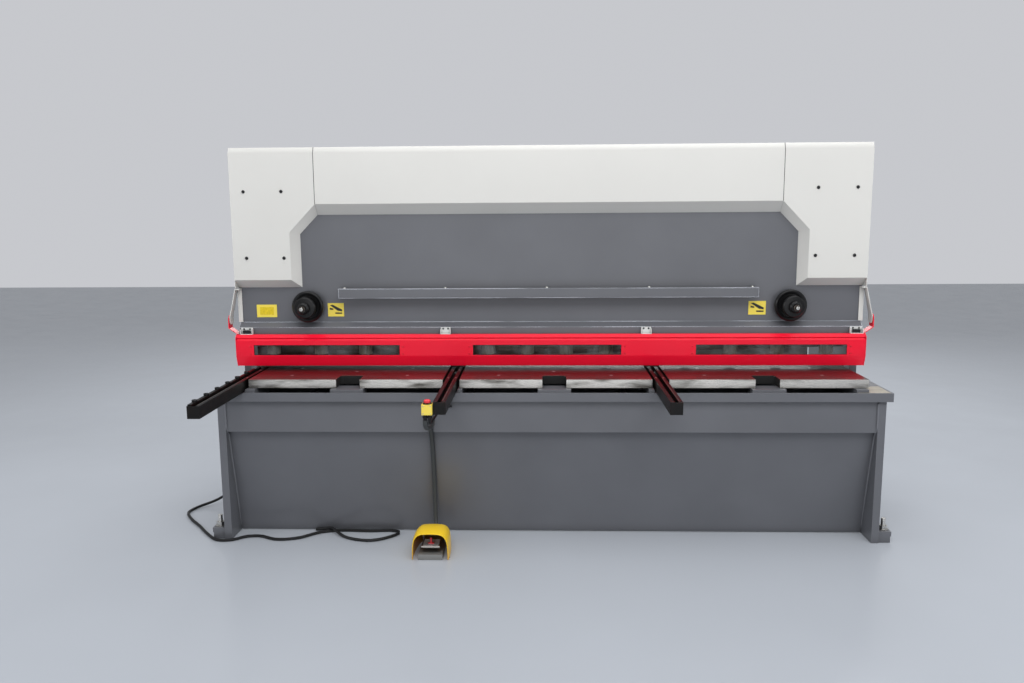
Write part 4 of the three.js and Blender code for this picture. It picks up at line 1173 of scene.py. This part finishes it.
blocks("cabinet_roof", rain, LOOKS[slot_of["electric_cabinet"]])

# Inside, on a plate: wiring ducts, breakers, terminals, contactors and a transformer
cab_low, cab_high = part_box("electric_cabinet")
BOARD_Y = cab_low.y + 0.026
board_x, board_z = (cab_low.x + 0.05, cab_high.x - 0.05), (cab_low.z + 0.05, cab_high.z - 0.05)
board = ((board_x[0], BOARD_Y - 0.003, board_z[0]), (board_x[1], BOARD_Y, board_z[1]))
blocks("cabinet_board", [board], ZINC)
stud_x, stud_z = ((low + 0.02, high - 0.02) for low, high in (board_x, board_z))
spots = [(x, cab_low.y + 0.0035, z) for x in stud_x for z in stud_z]
turned("cabinet_board_studs", rod(0.005, 0, 0.03), spots, Y, BLACK_STEEL, 12)


def on_board(x, z, width, height, depth):
    return (x, BOARD_Y - SUNK, z), (x + width, BOARD_Y + depth, z + height)


ducts = [on_board(board_x[0] + 0.01, z, 0.52, 0.035, 0.05) for z in (1.31, 1.7)]
ducts += [on_board(board_x[0] + 0.045, 1.47, 0.45, 0.035, 0.05)]
ducts += [on_board(x, 1.345, 0.035, 0.355, 0.05) for x in (board_x[0] + 0.01, board_x[1] - 0.045)]
blocks("cabinet_ducts", ducts, GREY_RUBBER, round_edges=0.0015)
row_x, pitch = -1.38, 0.0185
breakers = [on_board(row_x + pitch * i, 1.6, 0.0178, 0.082, 0.066) for i in range(12)]
breakers += [on_board(row_x + 0.0062 * i, 1.376, 0.0058, 0.06, 0.042) for i in range(48)]  # the terminals
blocks("cabinet_breakers", breakers, CLIP_WHITE, round_edges=0.0008)
relays = [on_board(row_x + 0.056 * i, 1.525, 0.045, 0.05, 0.09) for i in range(5)]
relays += [on_board(row_x + 0.003 + pitch * i, 1.635, 0.012, 0.012, 0.076) for i in range(12)]  # levers
blocks("cabinet_contactors", relays, BLACK_PLASTIC, round_edges=0.0015)
core = [on_board(-1.06, 1.53, 0.1, 0.09, 0.07), on_board(-1.05, 1.55, 0.08, 0.05, 0.1)]
blocks("cabinet_transformer", core, BLACK_STEEL, round_edges=0.002)

# ---- power cable's entry

entry = (panel_low.x - 0.036, 0.19, 0.15)
nut = [(0.008, 0.026), (0.0125, 0.025), (0.013, 0.013), (0.0165, 0.0125, "hex"), (0.0165, 0.003, "hex")]
nut += [(0.018, 0.0025), (0.018, -SUNK), (0.008, -SUNK)]
turned("power_cable_gland", closed(nut), [entry], -X, BLACK_PLASTIC, 24, round_edges=0.0004)

# ---- camera, light, floor

SENSOR = 36.0
camera = bpy.data.objects.new("camera", bpy.data.cameras.new("camera"))
camera.data.sensor_width = SENSOR
camera.data.lens = SENSOR * 0.83125
yaw, pitch, roll = 0.0354, 0.1522, -0.007
turn = Matrix.Rotation(yaw, 4, "Z") @ Matrix.Rotation(math.pi / 2 - pitch, 4, "X")
turn = turn @ Matrix.Rotation(roll, 4, "Z")
camera.matrix_world = Matrix.Translation((-0.026, -4.426, 1.602)) @ turn
bpy.context.scene.collection.objects.link(camera)
bpy.context.scene.camera = camera


def softbox(name, at, target, size, power, color=(1, 1, 1)):
    lamp = bpy.data.lights.new(name, "AREA")
    lamp.shape = "RECTANGLE"
    lamp.size, lamp.size_y = size
    lamp.energy = power
    lamp.color = color
    obj = bpy.data.objects.new(name, lamp)
    obj.location = at
    obj.rotation_mode = "QUATERNION"
    obj.rotation_quaternion = (Vector(target) - Vector(at)).to_track_quat("-Z", "Y")
    bpy.context.scene.collection.objects.link(obj)


softbox("key", (0.6, -3.9, 5.4), (0, 0, 0.9), (6.0, 2.4), 222)
softbox("top", (0, 0.5, 5.5), (0, 0, 0.5), (7.0, 4.0), 120)
softbox("left", (-5.5, -2.5, 2.6), (0, 0, 1.0), (3.0, 3.0), 50)
softbox("right", (5.5, -3.0, 2.6), (0, 0, 1.0), (3.0, 3.0), 50)
softbox("low_fill", (0, -6.5, 1.2), (0, 0, 0.6), (6.0, 1.6), 38)
softbox("back", (0.5, 5.0, 4.0), (0, 0, 1.0), (6.0, 3.0), 210)

world = bpy.data.worlds.new("studio")
bpy.context.scene.world = world
world.use_nodes = True
studio = world.node_tree
rays = studio.nodes.new("ShaderNodeLightPath")
# The backdrop is paler than the light that the room throws on the machine
backdrop = mix(studio, rays.outputs["Is Camera Ray"], (0.33, 0.34, 0.36), (0.57, 0.58, 0.61))
link(studio, backdrop, studio.nodes["Background"].inputs["Color"])
studio.nodes["Background"].inputs["Strength"].default_value = 1.0


def stage_plane(name, corners, look):
    mesh = bpy.data.meshes.new(name)
    mesh.from_pydata(corners, [], [(0, 1, 2, 3)])
    mesh.materials.append(look)
    obj = bpy.data.objects.new(name, mesh)
    bpy.context.scene.collection.objects.link(obj)


FLOOR_LOOK = finish_of(
    "floor_look",
    (0.41, 0.435, 0.475),
    0.2,
    mottle=0.03,
    patch=1.5,
    grain=0.3,
    depth=0.00001,
    spread=0.04,
    # Painted contact shade on the floor around the machine's feet.
    corner_shade=(0.8, 0.02),
    glow=0.12,
)
FAR = 14.0
stage_plane("floor", [(-FAR, -FAR, 0), (FAR, -FAR, 0), (FAR, FAR, 0), (-FAR, FAR, 0)], FLOOR_LOOK)

bpy.context.scene.view_settings.view_transform = "Standard"
